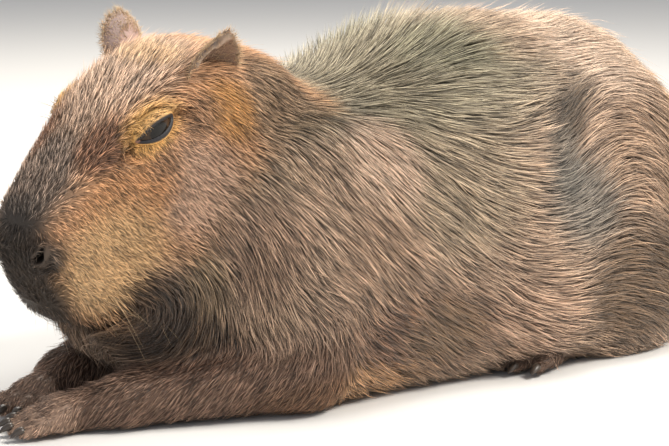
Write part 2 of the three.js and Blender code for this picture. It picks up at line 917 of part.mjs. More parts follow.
// Ears: thin cups, round at the top, that grow from the head's upper corners and open outward.
function earForm(side) {
  const base = headPoint(earBase[0], -side * earBase[1], earBase[2]);
  const rise = headDirection(earRise[0], -side * earRise[1], earRise[2]);
  const open = headDirection(earFacing[0], -side * earFacing[1], earFacing[2]);
  const fore = new THREE.Vector3().crossVectors(rise, open).normalize();
  if (fore.dot(headDirection(1, 0, 0)) < 0) fore.negate();
  const face = new THREE.Vector3().crossVectors(fore, rise).normalize();
  if (face.dot(open) < 0) face.negate();
  const around = 14;
  const levels = [0.45, 0.8, 1];
  const centre = base.clone().addScaledVector(rise, earSize.centre);
  const at = (turn, r, isInner) => {
    const c = Math.cos(turn);
    const s = Math.sin(turn);
    const wall = isInner ? 0 : earSize.wall * (1 - earSize.thinning * r ** 3);
    const narrowing = s > 0 ? 1 : 1 - 0.25 * s * s;
    return centre
      .clone()
      .addScaledVector(fore, earSize.width * r * c * narrowing - 4 * r * Math.max(s, 0))
      .addScaledVector(rise, earSize.height * r * s)
      .addScaledVector(face, earSize.depth * (r * r - 1) - wall + earSize.bulge * r * c);
  };
  const turns = Array.from({ length: around }, (_, i) => (i / around) * 2 * Math.PI);
  const points = [at(0, 0, true)];
  for (const r of levels) points.push(...turns.map((turn) => at(turn, r, true)));
  for (const r of [...levels].reverse()) points.push(...turns.map((turn) => at(turn, r, false)));
  points.push(at(0, 0, false));
  const faces = [];
  const rings = levels.length * 2;
  for (let i = 0; i < around; i++) {
    const next = (i + 1) % around;
    faces.push(0, 1 + i, 1 + next);
    for (let r = 0; r + 1 < rings; r++) {
      const a = 1 + r * around;
      faces.push(a + i, a + around + i, a + next, a + next, a + around + i, a + around + next);
    }
    const end = 1 + (rings - 1) * around;
    faces.push(points.length - 1, end + next, end + i);
  }
  const solid = solidOf(meshOf(points, faces));
  return solid.volume() > 0 ? solid : solidOf(meshOf(points, faces.reverse()));
}

// Nostrils: slanting pits on the muzzle's upper front corners.
function nostril(side) {
  const place = headPoint(nostrilPlace[0], -side * nostrilPlace[1], nostrilPlace[2]);
  const pit = new THREE.SphereGeometry(1, 12, 8);
  pit.scale(...nostrilRadii);
  const out = outward(body, place);
  const slant = headDirection(nostrilSlant[0], -side * nostrilSlant[1], nostrilSlant[2]);
  slant.addScaledVector(out, -slant.dot(out)).normalize();
  const basis = new THREE.Matrix4().makeBasis(slant, out, new THREE.Vector3().crossVectors(slant, out));
  place.addScaledVector(out, -body(place.x, place.y, place.z));
  pit.applyMatrix4(basis.setPosition(place));
  return solidOf(pit);
}

// The mouth: a groove round the muzzle between the upper lip and the chin, a few millimetres deep.
function mouthGroove() {
  const strip = prism(mouthLine, 120, headPlane);
  const planView = headMatrix
    .clone()
    .multiply(new THREE.Matrix4().makeBasis(
      new THREE.Vector3(-1, 0, 0),
      new THREE.Vector3(0, -1, 0),
      new THREE.Vector3(0, 0, 1),
    ));
  return strip.subtract(prism(mouthFloor, 140, planView));
}

// Claws: blunt, tapered horns at the tips of the toes, bent down.
function clawForm({ knuckle, tip }) {
  const from = new THREE.Vector3(...knuckle.slice(0, 3));
  const start = new THREE.Vector3(...tip.slice(0, 3));
  const along = start.clone().sub(from).setZ(0).normalize();
  const side = new THREE.Vector3(-along.y, along.x, 0);
  const up = new THREE.Vector3(0, 0, 1);
  const at = (share, sideways, height) =>
    start
      .clone()
      .addScaledVector(along, share * clawSize.length)
      .addScaledVector(side, sideways)
      .addScaledVector(up, height);
  const { sides } = clawSize;
  const points = clawSections.flatMap(([share, girth, rise]) =>
    Array.from({ length: sides }, (_, i) => {
      const turn = (i / sides) * 2 * Math.PI;
      const height = rise + Math.sin(turn) * clawSize.height * girth;
      return at(share, Math.cos(turn) * clawSize.width * girth, height);
    }),
  );
  const heel = points.length;
  points.push(at(0, 0, clawSize.rise), at(1, 0, -clawSize.droop));
  const faces = [];
  for (let i = 0; i < sides; i++) {
    const next = (i + 1) % sides;
    faces.push(heel, next, i);
    for (let r = 0; r + 1 < clawSections.length; r++) {
      const a = r * sides;
      faces.push(a + i, a + next, a + sides + i, a + next, a + sides + next, a + sides + i);
    }
    const end = (clawSections.length - 1) * sides;
    faces.push(end + i, end + next, heel + 1);
  }
  return meshOf(points, faces);
}

// Trunk, neck and hind legs, with their locks

const torsoWhole = solidOf(surfaceOf(core, [-220, -260, -40], [540, 260, 430], torsoFace));
const torsoSolid = torsoWhole.intersect(aboveFloor);
const neckSolid = solidOf(surfaceOf(core, [-330, -170, 20], [110, 170, 400], neckFace));
const forearms = bothSides.map(({ name, side }) => forearmRegion(name, side, gap));

const hindFootGeometry = surfaceOf(hindFoot, [150, -200, -20], [340, -90, 70], hindFootFace);
const hindFeet = bothSides.map(({ side }) => {
  const turned = hindFootGeometry.clone();
  const grown = swollen(hindFootGeometry, gap + 0.2);
  if (side < 0) return { solid: solidOf(turned), cutter: solidOf(grown) };
  const mirror = (geometry) => {
    geometry.scale(1, -1, 1);
    geometry.setIndex([...geometry.index.array].reverse());
    return solidOf(geometry);
  };
  return { solid: mirror(turned), cutter: mirror(grown) };
});

const locks = { torso: [], neck: [], left: [], right: [] };
for (const root of lockRoots()) {
  const owner = lockOwner(root);
  if (!owner) continue;
  const isRidge = Math.abs(root.y) < 50 && root.z > 200;
  const scale = owner === "neck" ? neckLockScale : 1;
  locks[owner].push(
    lockSolid(
      root,
      lockLength * scale * between(0.88, 1.14),
      lockWidth * scale * between(0.9, 1.12),
      lockLift * (isRidge ? ridgeLift : 1) * between(0.85, 1.2),
      between(-lockSwing, lockSwing),
    ),
  );
}

const hindCuts = bothSides.map(({ side }) => hindRegion(side, gap));
const footCuts = hindFeet.map(({ cutter }) => cutter);
const hindClaws = bothSides.flatMap(({ name, side }, i) =>
  hindPaw.digits.map(({ knuckle, tip }, n) => {
    const flip = ([x, y, z, r]) => [x, side < 0 ? y : -y, z, r];
    const form = clawForm({ knuckle: flip(knuckle), tip: flip(tip) });
    return {
      name: `hindclaw_${name}_${n + 1}`,
      solid: solidOf(form).subtract(footCuts[i]).intersect(aboveFloor),
      cutter: solidOf(swollen(form, gap + 0.1)),
    };
  }),
);

let torso = wasm.Manifold.union([torsoSolid, ...locks.torso]);
for (const cutter of [foreRegionWide, headRegionWide, ...hindCuts, ...footCuts, ...forearms]) {
  torso = torso.subtract(cutter);
}
for (const { cutter } of hindClaws) torso = torso.subtract(cutter);
addNode("torso", torso, coat);

let neckPart = wasm.Manifold.union([neckSolid, ...locks.neck]);
neckPart = neckPart.intersect(foreRegion).intersect(aboveFloor).subtract(headRegionWide);
for (const cutter of forearms) neckPart = neckPart.subtract(cutter);
addNode("neck", neckPart, neckCoat);

bothSides.forEach(({ name, side }, i) => {
  let leg = wasm.Manifold.union([torsoSolid, ...locks[name]]);
  leg = leg.intersect(hindRegion(side, 0)).subtract(footCuts[i]);
  addNode(`hindleg_${name}`, leg, coat);
  addNode(`hindfoot_${name}`, hindFeet[i].solid.intersect(aboveFloor), legFur);
});

// Head

const headField = (x, y, z) => core(...new THREE.Vector3(x, y, z).applyMatrix4(headMatrix));
const headGeometry = surfaceOf(headField, [-290, -112, -150], [60, 112, 140], headFace);
headGeometry.applyMatrix4(headMatrix);
const eyes = bothSides.map(({ side }) => eyeParts(side));
let headPart = solidOf(headGeometry).intersect(headRegion(0));
headPart = headPart.subtract(mouthGroove());
bothSides.forEach(({ side }, i) => {
  headPart = headPart.add(eyes[i].lids).subtract(eyes[i].socket).subtract(eyes[i].opening);
  headPart = headPart.subtract(nostril(side));
});
addNode("head", headPart, faceFur);
const headCutter = solidOf(swollen(headGeometry, gap + 0.1));
bothSides.forEach(({ name, side }, i) => {
  addNode(`eye_${name}`, eyes[i].ball, eyeGloss);
  addNode(`ear_${name}`, earForm(side).subtract(headCutter), earSkin);
});

// Forelegs and their feet

bothSides.forEach(({ name, side }) => {
  const [, elbow, wrist, palm] = foreLimbs[name];
  const low = [-400, Math.min(elbow[1], wrist[1], 0) - 70, -20];
  const high = [-40, Math.max(elbow[1], wrist[1], 0) + 70, 120];
  const arm = solidOf(surfaceOf(body, low, high, legFace)).intersect(forearmRegion(name, side, 0));
  addNode(`foreleg_${name}`, arm.intersect(aboveFloor).subtract(wristCut(name, 0)), legFur);
  const pawLow = [palm[0] - 90, palm[1] - 75, -20];
  const pawHigh = [palm[0] + 60, palm[1] + 75, 60];
  const foot = surfaceOf(foreField[name], pawLow, pawHigh, footFace);
  const paw = solidOf(foot).intersect(aboveFloor).intersect(wristCut(name, gap));
  addNode(`forefoot_${name}`, paw, legFur);
  const cutter = solidOf(swollen(foot, gap + 0.1));
  forePaws[name].digits.forEach((digit, n) => {
    const claw = solidOf(clawForm(digit)).subtract(cutter).intersect(aboveFloor);
    addNode(`foreclaw_${name}_${n + 1}`, claw, clawHorn);
  });
});

hindClaws.forEach(({ name, solid }) => addNode(name, solid, clawHorn));

// The origin goes to the middle of the box that the animal fills, on the floor.
const box = new THREE.Box3().setFromObject(animal);
animal.position.set(-(box.min.x + box.max.x) / 2, -(box.min.y + box.max.y) / 2, -box.min.z);
const model = new THREE.Group();
model.add(animal);
export default model;
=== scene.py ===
import math
import time

import bpy
import numpy as np
from mathutils import Matrix, Vector


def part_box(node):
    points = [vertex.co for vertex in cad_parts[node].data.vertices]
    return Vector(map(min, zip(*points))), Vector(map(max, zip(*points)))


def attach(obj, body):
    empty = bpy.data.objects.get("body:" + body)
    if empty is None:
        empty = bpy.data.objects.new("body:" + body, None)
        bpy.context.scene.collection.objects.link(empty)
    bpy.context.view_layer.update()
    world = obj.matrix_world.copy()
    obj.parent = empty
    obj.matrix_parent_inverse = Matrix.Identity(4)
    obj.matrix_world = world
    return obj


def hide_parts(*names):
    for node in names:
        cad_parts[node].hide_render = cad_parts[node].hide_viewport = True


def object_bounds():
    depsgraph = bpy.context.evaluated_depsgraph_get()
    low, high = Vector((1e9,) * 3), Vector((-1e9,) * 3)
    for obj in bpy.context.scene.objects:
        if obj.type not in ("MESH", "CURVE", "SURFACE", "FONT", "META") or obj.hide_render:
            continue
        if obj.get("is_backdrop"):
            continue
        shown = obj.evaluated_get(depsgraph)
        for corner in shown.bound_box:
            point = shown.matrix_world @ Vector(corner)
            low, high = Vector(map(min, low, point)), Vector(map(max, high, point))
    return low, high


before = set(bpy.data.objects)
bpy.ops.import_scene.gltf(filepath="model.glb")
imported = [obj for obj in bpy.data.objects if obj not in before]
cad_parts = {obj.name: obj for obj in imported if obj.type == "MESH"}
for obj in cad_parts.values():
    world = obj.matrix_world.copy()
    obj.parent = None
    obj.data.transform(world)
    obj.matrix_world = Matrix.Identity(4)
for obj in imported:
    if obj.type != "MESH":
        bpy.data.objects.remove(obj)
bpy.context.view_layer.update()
startTime = time.time()
draw = np.random.default_rng(41)


def report(words):
    print(f"{time.time() - startTime:6.1f} s  {words}")


# Forms are worked out in millimetres, in the animal's own frame, and shifted onto the CAD model's place.
head = {
    "origin": (-94.0, -4.0, 279.0),
    "pitch": 34.0,
    "turn": -4.0,
    "roll": 4.0,
    "noseFront": 266.0,
    "back": -70.0,
    "endRounding": 46.0,
}
# The eye's opening is in radians on its ball. "moved" is from the CAD eye's middle in u, v and w, "forward"
# turns the gaze to the front, and "tilt" lowers the front corner, in degrees.
eye = {
    "place": (102.0, 48.0, 75.0),
    "moved": (-5.2, 0.0, 2.0),
    "radius": 27.0,
    "sunk": 8.0,
    "forward": 0.2,
    "tilt": 1.0,
    "halfLength": 0.8,
    "halfHeight": 0.32,
    "upper": 1.1,
    "lower": 0.62,
    "sag": 0.3,
    "narrowing": 0.45,
}
sides = {"left": 1.0, "right": -1.0}


# Rotation by degrees about an axis, as a 3 by 3 array.
def turned(axis, degrees):
    return np.array(Matrix.Rotation(math.radians(degrees), 3, axis))


headTurn = turned("Z", -head["turn"]) @ turned("Y", -head["pitch"]) @ turned("X", head["roll"])
headOrigin = np.array(head["origin"])


# The head's own axes: u to the nose, v to the left, w up. A sign of -1 mirrors a place or a way to the right.
def headCoordinates(p):
    q = (p - headOrigin) @ headTurn
    return q * np.array([-1.0, -1.0, 1.0])


def headPoint(place, sign=1.0):
    u, v, w = place
    return headTurn @ np.array([-u, -sign * v, w], float) + headOrigin


def headDirection(way, sign=1.0):
    u, v, w = way
    d = headTurn @ np.array([-u, -sign * v, w], float)
    return d / np.linalg.norm(d)


eyeLow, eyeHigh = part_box("eye_left")
eyeMiddle = np.array((eyeLow + eyeHigh) / 2) * 1000
shift = eyeMiddle - headPoint(eye["place"])


def toWorld(p):
    return (p + shift) / 1000


def unit(d):
    return d / np.maximum(np.linalg.norm(d, axis=-1, keepdims=True), 1e-9)


# A smooth curve through rows of position and values: cubic pieces whose slopes come from the neighbours.
def profile(rows):
    rows = np.array(rows, float)
    at, values = rows[:, 0], rows[:, 1:]
    count = len(at)
    before = np.maximum(np.arange(count) - 1, 0)
    after = np.minimum(np.arange(count) + 1, count - 1)
    slopes = (values[after] - values[before]) / (at[after] - at[before])[:, None]

    def read(position):
        s = np.clip(position, at[0], at[-1])
        i = np.clip(np.searchsorted(at, s) - 1, 0, count - 2)
        span = at[i + 1] - at[i]
        t = (s - at[i]) / span
        a = (2 * t - 3) * t * t + 1
        b = ((t - 2) * t + 1) * t * span
        c = (3 - 2 * t) * t * t
        d = (t - 1) * t * t * span
        return [
            a * values[i, n] + b * slopes[i, n] + c * values[i + 1, n] + d * slopes[i + 1, n]
            for n in range(values.shape[1])
        ]

    return read


# The lesser of two fields, rounded over the width k where they are alike.
def smoothMin(a, b, k):
    h = np.maximum(k - np.abs(a - b), 0) / k
    return np.minimum(a, b) - h * h * k / 4


def smoothMax(a, b, k):
    return -smoothMin(-a, -b, k)


def smoothStep(t):
    t = np.clip(t, 0, 1)
    return t * t * (3 - 2 * t)


# An egg: distance to an ellipsoid with a pitch about Y that lifts the +X end.
def egg(centre, radii, pitch=0.0):
    c, s = math.cos(math.radians(pitch)), math.sin(math.radians(pitch))

    def field(p):
        dx, dy, dz = p[:, 0] - centre[0], p[:, 1] - centre[1], p[:, 2] - centre[2]
        ex, ey, ez = (dx * c + dz * s) / radii[0], dy / radii[1], (dz * c - dx * s) / radii[2]
        near = np.sqrt(ex * ex + ey * ey + ez * ez)
        slope = np.sqrt((ex / radii[0]) ** 2 + (ey / radii[1]) ** 2 + (ez / radii[2]) ** 2)
        return near * (near - 1) / np.maximum(slope, 1e-6)

    return field


# A limb: balls of given radii joined in a chain.
def limb(balls, rounding=12.0):
    balls = [np.array(ball, float) for ball in balls]

    def field(p):
        least = None
        for a, b in zip(balls, balls[1:]):
            way = b[:3] - a[:3]
            h = np.clip((p - a[:3]) @ way / (way @ way), 0, 1)
            reach = np.linalg.norm(p - a[:3] - h[:, None] * way, axis=1)
            d = reach - (a[3] + (b[3] - a[3]) * h)
            least = d if least is None else smoothMin(least, d, rounding)
        return least

    return field


def mirrored(field):
    return lambda p: field(np.column_stack([p[:, 0], -np.abs(p[:, 1]), p[:, 2]]))


# The trunk: a lofted barrel, flatter below. Rows: x, height of the back, half width, height of the widest
# line.
trunk = {
    "front": -180.0,
    "rear": 466.0,
    "sink": 26.0,
    "rows": profile([
        (-190, 180, 60, 110), (-130, 232, 105, 120), (-60, 268, 140, 125), (20, 294, 160, 130),
        (110, 328, 174, 135), (200, 356, 184, 140), (290, 370, 182, 145), (370, 356, 164, 150),
        (430, 315, 138, 150), (470, 250, 100, 140),
    ]),
}


def trunkField(p):
    x, y, z = p.T
    back, halfWidth, widest = trunk["rows"](x)
    above = z > widest
    height = np.where(above, back - widest, widest + trunk["sink"])
    power = np.where(above, 2.1, 3.2)
    reach = ((np.abs(y) / halfWidth) ** power + (np.abs(z - widest) / height) ** power) ** (1 / power)
    wall = (reach - 1) * np.minimum(halfWidth, height)
    return smoothMax(wall, np.maximum(x - trunk["rear"], trunk["front"] - x), 110)


# Forms that are joined to the trunk in this order: each one's field and its rounding. The hollow is cut away.
bodyForms = {
    "rump": (egg((385, 0, 165), (95, 140, 165), -8), 70),
    "haunch": (mirrored(egg((366, -100, 148), (110, 88, 146), -12)), 34),
    "thigh": (mirrored(egg((356, -112, 62), (114, 84, 88))), 50),
    "flankHollow": (mirrored(egg((285, -218, 262), (62, 60, 84), -18)), 40),
    "knee": (mirrored(egg((225, -150, 92), (70, 50, 80), 20)), 34),
    "shoulder": (mirrored(egg((-10, -98, 150), (100, 66, 118), 14)), 50),
    "neck": (egg((-50, 0, 200), (120, 98, 96), 6), 60),
    "throat": (egg((-168, 0, 112), (88, 92, 74)), 40),
}
# The rounding where other forms meet
meeting = {"head": 26, "legs": 24, "wrist": 14, "ankle": 12, "hindFoot": 9, "floor": 7}

# Rows of the head: u, top, bottom, half width. The muzzle's front leans back below the lips.
headRows = profile([
    (-60, 44, -98, 84), (-25, 70, -101, 84), (5, 90, -102, 83), (50, 103, -100, 80), (95, 107, -92, 73),
    (140, 102, -84, 65), (190, 91, -80, 57), (232, 79, -74, 51), (268, 63, -60, 45),
])
muzzleFront = profile([
    (-90, head["noseFront"] - 44), (-62, head["noseFront"] - 24),
    (-36, head["noseFront"]), (70, head["noseFront"]),
])


def headField(p):
    u, v, w = headCoordinates(p).T
    top, bottom, halfWidth = headRows(u)
    middle, halfHeight = (top + bottom) / 2, (top - bottom) / 2
    power = np.where(w > middle, 3.3, 2.6)
    reach = ((np.abs(v) / halfWidth) ** power + (np.abs(w - middle) / halfHeight) ** power) ** (1 / power)
    wall = (reach - 1) * np.minimum(halfWidth, halfHeight)
    return smoothMax(wall, np.maximum(u - muzzleFront(w)[0], head["back"] - u), head["endRounding"])


# A foot: a pad across the end of the wrist and toes that fan out from it. Returns its field and the toes.
def makeFoot(pad, padRadius, padWidth, heading, toes, toeRadius, tipHeight):
    along = np.array([math.cos(math.radians(heading)), math.sin(math.radians(heading))])
    across = np.array([-along[1], along[0]])

    def at(forward, sideways, z, r):
        x, y = np.array(pad[:2]) + along * forward + across * sideways
        return [x, y, z, r]

    padField = limb([at(0, -padWidth, pad[2], padRadius), at(0, padWidth, pad[2], padRadius)])
    digits = []
    for length, sideways in toes:
        root = at(4, sideways, pad[2] - 2, toeRadius + 1)
        knuckle = at(length * 0.55, sideways * 1.18, tipHeight + 5, toeRadius)
        tip = at(length, sideways * 1.3, tipHeight, toeRadius * 0.8)
        digits.append({"field": limb([root, knuckle, tip], 6), "knuckle": knuckle, "tip": tip})

    def field(p):
        least = padField(p)
        for digit in digits:
            least = smoothMin(least, digit["field"](p), 7)
        return least

    return field, digits


limbs = {
    "left": limb([(-30, -112, 120, 54), (-72, -112, 44, 44), (-232, -52, 26, 25), (-284, -28, 18, 19)]),
    "right": limb([(-30, 112, 120, 54), (-84, 114, 44, 42), (-220, 68, 25, 24), (-254, 56, 17, 18)]),
}
paws = {
    "left": makeFoot((-290, -25, 17), 15, 13, 154, [(34, -20), (42, -7), (42, 7), (34, 20)], 9, 8),
    "right": makeFoot((-261, 55, 16), 14, 12, 203, [(32, -19), (40, -6.5), (40, 6.5), (32, 19)], 8.5, 8),
}
hindSole = limb([(310, -126, 30, 24), (240, -142, 16, 18)])
hindPaw = makeFoot((230, -144, 14), 12, 10, 192, [(40, -16), (48, 0), (40, 16)], 9, 8)


def forelegField(p):
    left, right = (smoothMin(limbs[side](p), paws[side][0](p), meeting["wrist"]) for side in sides)
    return np.minimum(left, right)


hindFootField = mirrored(lambda p: smoothMin(hindSole(p), hindPaw[0](p), meeting["ankle"]))


# The body that the CAD model has, all but the hind feet.
def bodyField(p, headPart, legPart):
    d = trunkField(p)
    for name, (form, rounding) in bodyForms.items():
        d = smoothMax(d, -form(p), rounding) if name == "flankHollow" else smoothMin(d, form(p), rounding)
    return smoothMin(smoothMin(d, headPart, meeting["head"]), legPart, meeting["legs"])


# The skin lies inside that body by the coat's depth, which is small on head and legs.
skin = {
    "depth": 8.0,
    "bareDepth": 2.2,
    "rumpDip": 12.0,
    "floorGap": 0.6,
    "lidRise": 1.4,
    "lidGap": 3.2,
    "socket": (5.5, 17.0),  # width of the dip round the lids, and of the rise
    "nostril": (250.0, 31.0, 46.0),
    "nostrilWay": (0.86, 0.42, 0.3),
    "nostrilSlant": (-0.55, 0.6, 0.55),
    "nostrilRim": (14.0, 9.0, 9.5),
    "nostrilPit": (8.4, 13.0, 3.9),
    "nostrilBend": 0.045,
    "mouth": profile([(170, -60), (230, -50), (275, -43), (300, -42)]),
    "mouthDepth": 2.5,
    "mouthHalfWidth": 1.4,
    "mouthRear": 176.0,
}

eyeSides = {}
for side, sign in sides.items():
    spin = math.radians(eye["tilt"])
    alongEye = headDirection((math.cos(spin), -eye["forward"], -math.sin(spin) + 0.05), sign)
    upEye = headDirection((math.sin(spin), 0.12, math.cos(spin)), sign)
    outEye = np.cross(alongEye, upEye)
    outEye = outEye / np.linalg.norm(outEye)
    outEye = outEye * np.sign(outEye @ headDirection((0, 1, 0), sign))
    square = np.cross(outEye, alongEye)
    upEye = square * np.sign(square @ upEye)
    centre = headPoint(np.array(eye["place"]) + np.array(eye["moved"]), sign)
    eyeSides[side] = {"axes": np.array([alongEye, upEye, outEye]), "middle": centre - outEye * eye["sunk"]}


# Half the opening's height by share of its length: an arched upper lid, and a lower one that sags behind.
def lidHeight(share, isUpper):
    lower = eye["lower"] * (1 - eye["sag"] * np.clip(share, -1, 1))
    return eye["halfHeight"] * np.where(isUpper, eye["upper"], lower)


# How far a place on the eyeball is outside the almond opening, in millimetres: two arcs that meet in corners.
def almondField(a, b):
    long = eye["halfLength"]
    high = lidHeight(a / long, b > 0) * (1 - eye["narrowing"] * np.minimum((a / long) ** 2, 1))
    reach = np.maximum(np.hypot(a / long, b / high), 1e-6)
    slope = np.hypot(a / long ** 2, b / high ** 2) / reach
    return (reach - 1) / slope * eye["radius"]


# Angles of a place about the eye's middle: forward and up.
def eyeAngles(p, side):
    q = (p - eyeSides[side]["middle"]) @ eyeSides[side]["axes"].T
    return np.arctan2(q[:, 0], q[:, 2]), np.arctan2(q[:, 1], np.hypot(q[:, 0], q[:, 2])), q


def nostrilFrame(sign):
    out = headDirection(skin["nostrilWay"], sign)
    slant = headDirection(skin["nostrilSlant"], sign)
    slant = unit(slant - out * (slant @ out))
    return headPoint(skin["nostril"], sign), np.array([slant, out, np.cross(slant, out)])


def skinField(p):
    headPart, legPart = headField(p), forelegField(p)
    bare = np.minimum(headPart, legPart)
    depth = skin["bareDepth"] + (skin["depth"] - skin["bareDepth"]) * smoothStep((bare - 8) / 44)
    onRump = smoothStep((p[:, 2] - 250) / 90) * smoothStep(1 - np.abs(p[:, 0] - 320) / 140)
    d = bodyField(p, headPart, legPart) + (depth + skin["rumpDip"] * onRump)
    d = smoothMin(d, hindFootField(p) + skin["bareDepth"], meeting["hindFoot"])
    nearHead = np.flatnonzero(headPart < 40)
    d[nearHead] = faceField(p[nearHead], d[nearHead])
    return smoothMax(d, skin["floorGap"] - p[:, 2], meeting["floor"])


# What the head adds to the skin: lids and their opening, nostrils and the line of the mouth.
def faceField(p, d):
    rim, pit = np.array(skin["nostrilRim"]), np.array(skin["nostrilPit"])
    for side, sign in sides.items():
        a, b, q = eyeAngles(p, side)
        height = np.linalg.norm(q, axis=1) - eye["radius"]
        outside = np.where(q[:, 2] > 2, almondField(a, b), 99.0)
        width = np.where(height - skin["lidRise"] > d, *skin["socket"])
        share = smoothStep(1 - (outside - 2) / width) * smoothStep((16 + height) / 8)
        d = d + (height - skin["lidRise"] - d) * share * smoothStep((26 - height) / 14)
        opening = outside - skin["lidGap"] + 0.8 * np.maximum(height - 3, 0)
        d = smoothMax(d, -opening, 3)
        place, axes = nostrilFrame(sign)
        r = (p - place) @ axes.T
        d = smoothMin(d, (np.linalg.norm(r / rim, axis=1) - 1) * rim[1] + 1.5, 8)
        r[:, 2] += skin["nostrilBend"] * r[:, 0] ** 2
        d = smoothMax(d, -(np.linalg.norm(r / pit, axis=1) - 1) * pit[2], 3)
    u, v, w = headCoordinates(p).T
    aside = np.abs(w - skin["mouth"](u)[0]) - skin["mouthHalfWidth"]
    groove = np.maximum(aside, np.maximum(-d - skin["mouthDepth"], skin["mouthRear"] - u))
    return smoothMax(d, -groove, 3)


# Direction straight away from a field at some places.
def outward(field, p, step=0.6):
    slopes = [field(p + step * axis) - field(p - step * axis) for axis in np.eye(3)]
    return unit(np.column_stack(slopes))


# Positions along an axis whose spacing grows from fine to coarse.
def gradedLine(low, high, spacing):
    line = [low]
    while line[-1] < high:
        line.append(line[-1] + spacing(line[-1]))
    return np.array(line)


# A closed mesh of a field by surface nets: one vertex in each cell that the surface crosses, at the mean of its
# edges' crossings, and one quad for each crossed edge. Only the cells near the surface are read finely.
def surfaceNet(field, lines, reach, block=4):
    counts = [len(line) for line in lines]
    coarse = [line[np.minimum(np.arange(0, len(line), block) + block // 2, len(line) - 1)] for line in lines]
    centres = np.stack(np.meshgrid(*coarse, indexing="ij"), -1).reshape(-1, 3)
    rough = field(centres).reshape([len(c) for c in coarse])
    for axis in range(3):
        rough = np.repeat(rough, block, axis=axis)
    values = rough[: counts[0], : counts[1], : counts[2]].copy()
    widest = max(np.diff(line).max() for line in lines) * block
    near = np.flatnonzero(np.abs(values.ravel()) < widest * reach)
    places = np.stack(np.unravel_index(near, counts), -1)
    points = np.column_stack([lines[n][places[:, n]] for n in range(3)])
    values.ravel()[near] = np.concatenate([field(part) for part in np.array_split(points, 12)])
    inside = values < 0
    corners = np.array([(c & 1, (c >> 1) & 1, c >> 2) for c in range(8)])
    found = np.zeros([c - 1 for c in counts], int)
    for a, b, c in corners:
        found += inside[a : counts[0] - 1 + a, b : counts[1] - 1 + b, c : counts[2] - 1 + c]
    cells = np.argwhere((found > 0) & (found < 8))
    at = np.stack([values[tuple((cells + corner).T)] for corner in corners], 1)
    total, number = np.zeros((len(cells), 3)), np.zeros(len(cells))
    for a in range(8):
        for bit in (1, 2, 4):
            if a & bit:
                continue
            b = a | bit
            crossed = (at[:, a] < 0) != (at[:, b] < 0)
            gap = np.where(crossed, at[:, a] - at[:, b], 1)
            t = np.where(crossed, at[:, a] / gap, 0)[:, None]
            total += np.where(crossed[:, None], corners[a] + t * (corners[b] - corners[a]), 0)
            number += crossed
    spot = cells + total / number[:, None]
    vertices = np.column_stack([np.interp(spot[:, n], np.arange(counts[n]), lines[n]) for n in range(3)])
    numberOf = np.full([c - 1 for c in counts], -1, np.int64)
    numberOf[tuple(cells.T)] = np.arange(len(cells))
    quads = []
    for axis in range(3):
        one, two = [n for n in range(3) if n != axis]
        low = [slice(1, counts[n] - 1) for n in range(3)]
        low[axis] = slice(0, counts[axis] - 1)
        high = list(low)
        high[axis] = slice(1, counts[axis])
        differs = np.argwhere(inside[tuple(low)] != inside[tuple(high)])
        start = differs + np.array([0 if n == axis else 1 for n in range(3)])
        stepOne, stepTwo = np.eye(3, dtype=int)[one], np.eye(3, dtype=int)[two]
        ring = [start - stepOne - stepTwo, start - stepTwo, start, start - stepOne]
        quad = np.column_stack([numberOf[tuple(r.T)] for r in ring])
        flip = inside[tuple(start.T)] ^ (axis == 1)
        quads.append(np.where(flip[:, None], quad, quad[:, ::-1]))
    return vertices, np.concatenate(quads)


# Moves places straight onto a field's surface by small steps.
def settle(field, p, rounds=2, most=1.5):
    for _ in range(rounds):
        d = field(p)
        p = p - outward(field, p) * np.clip(d, -most, most)[:, None]
    return p


# Puts arrays of points and of faces with alike numbers of corners into a mesh object.
def addMesh(name, points, faces, material):
    mesh = bpy.data.meshes.new(name)
    mesh.vertices.add(len(points))
    mesh.vertices.foreach_set("co", toWorld(points).astype(np.float32).ravel())
    mesh.loops.add(faces.size)
    mesh.loops.foreach_set("vertex_index", faces.astype(np.int32).ravel())
    mesh.polygons.add(len(faces))
    mesh.polygons.foreach_set("loop_start", np.arange(0, faces.size, faces.shape[1], dtype=np.int32))
    mesh.polygons.foreach_set("use_smooth", np.full(len(faces), True))
    mesh.update(calc_edges=True)
    mesh.validate()
    thing = bpy.data.objects.new(name, mesh)
    bpy.context.scene.collection.objects.link(thing)
    mesh.materials.append(material)
    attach(thing, "root")
    return thing


def addColour(thing, name, colour):
    layer = thing.data.color_attributes.new(name=name, type="FLOAT_COLOR", domain="POINT")
    rgba = np.column_stack([colour, np.ones(len(colour))])
    layer.data.foreach_set("color", rgba.astype(np.float32).ravel())


def addValue(thing, name, value):
    layer = thing.data.attributes.new(name=name, type="FLOAT", domain="POINT")
    layer.data.foreach_set("value", value.astype(np.float32))


# Camera, floor and light
view = {
    "azimuth": -41.0,
    "elevation": 10.5,
    "target": (20.0, -60.0, 165.0),
    "distance": 2300.0,
    "lens": 125.0,
}
studio = {
    "floorColour": (0.78, 0.77, 0.75),
    "floorSize": 30.0,
    "worldColour": (0.93, 0.95, 1.0),
    "worldStrength": 0.4,
    "lamps": [
        # name, place in metres, size, watts, colour
        ("keyLight", (1.2, -2.2, 2.8), 1.0, 138, (1.0, 0.95, 0.87)),
        ("fillLight", (-2.8, -1.2, 1.3), 1.8, 12, (0.86, 0.92, 1.0)),
        ("rimLight", (1.4, 1.9, 2.4), 1.2, 60, (1.0, 0.93, 0.82)),
        ("topLight", (0.7, -0.5, 2.9), 1.2, 52, (1.0, 0.97, 0.92)),
    ],
}


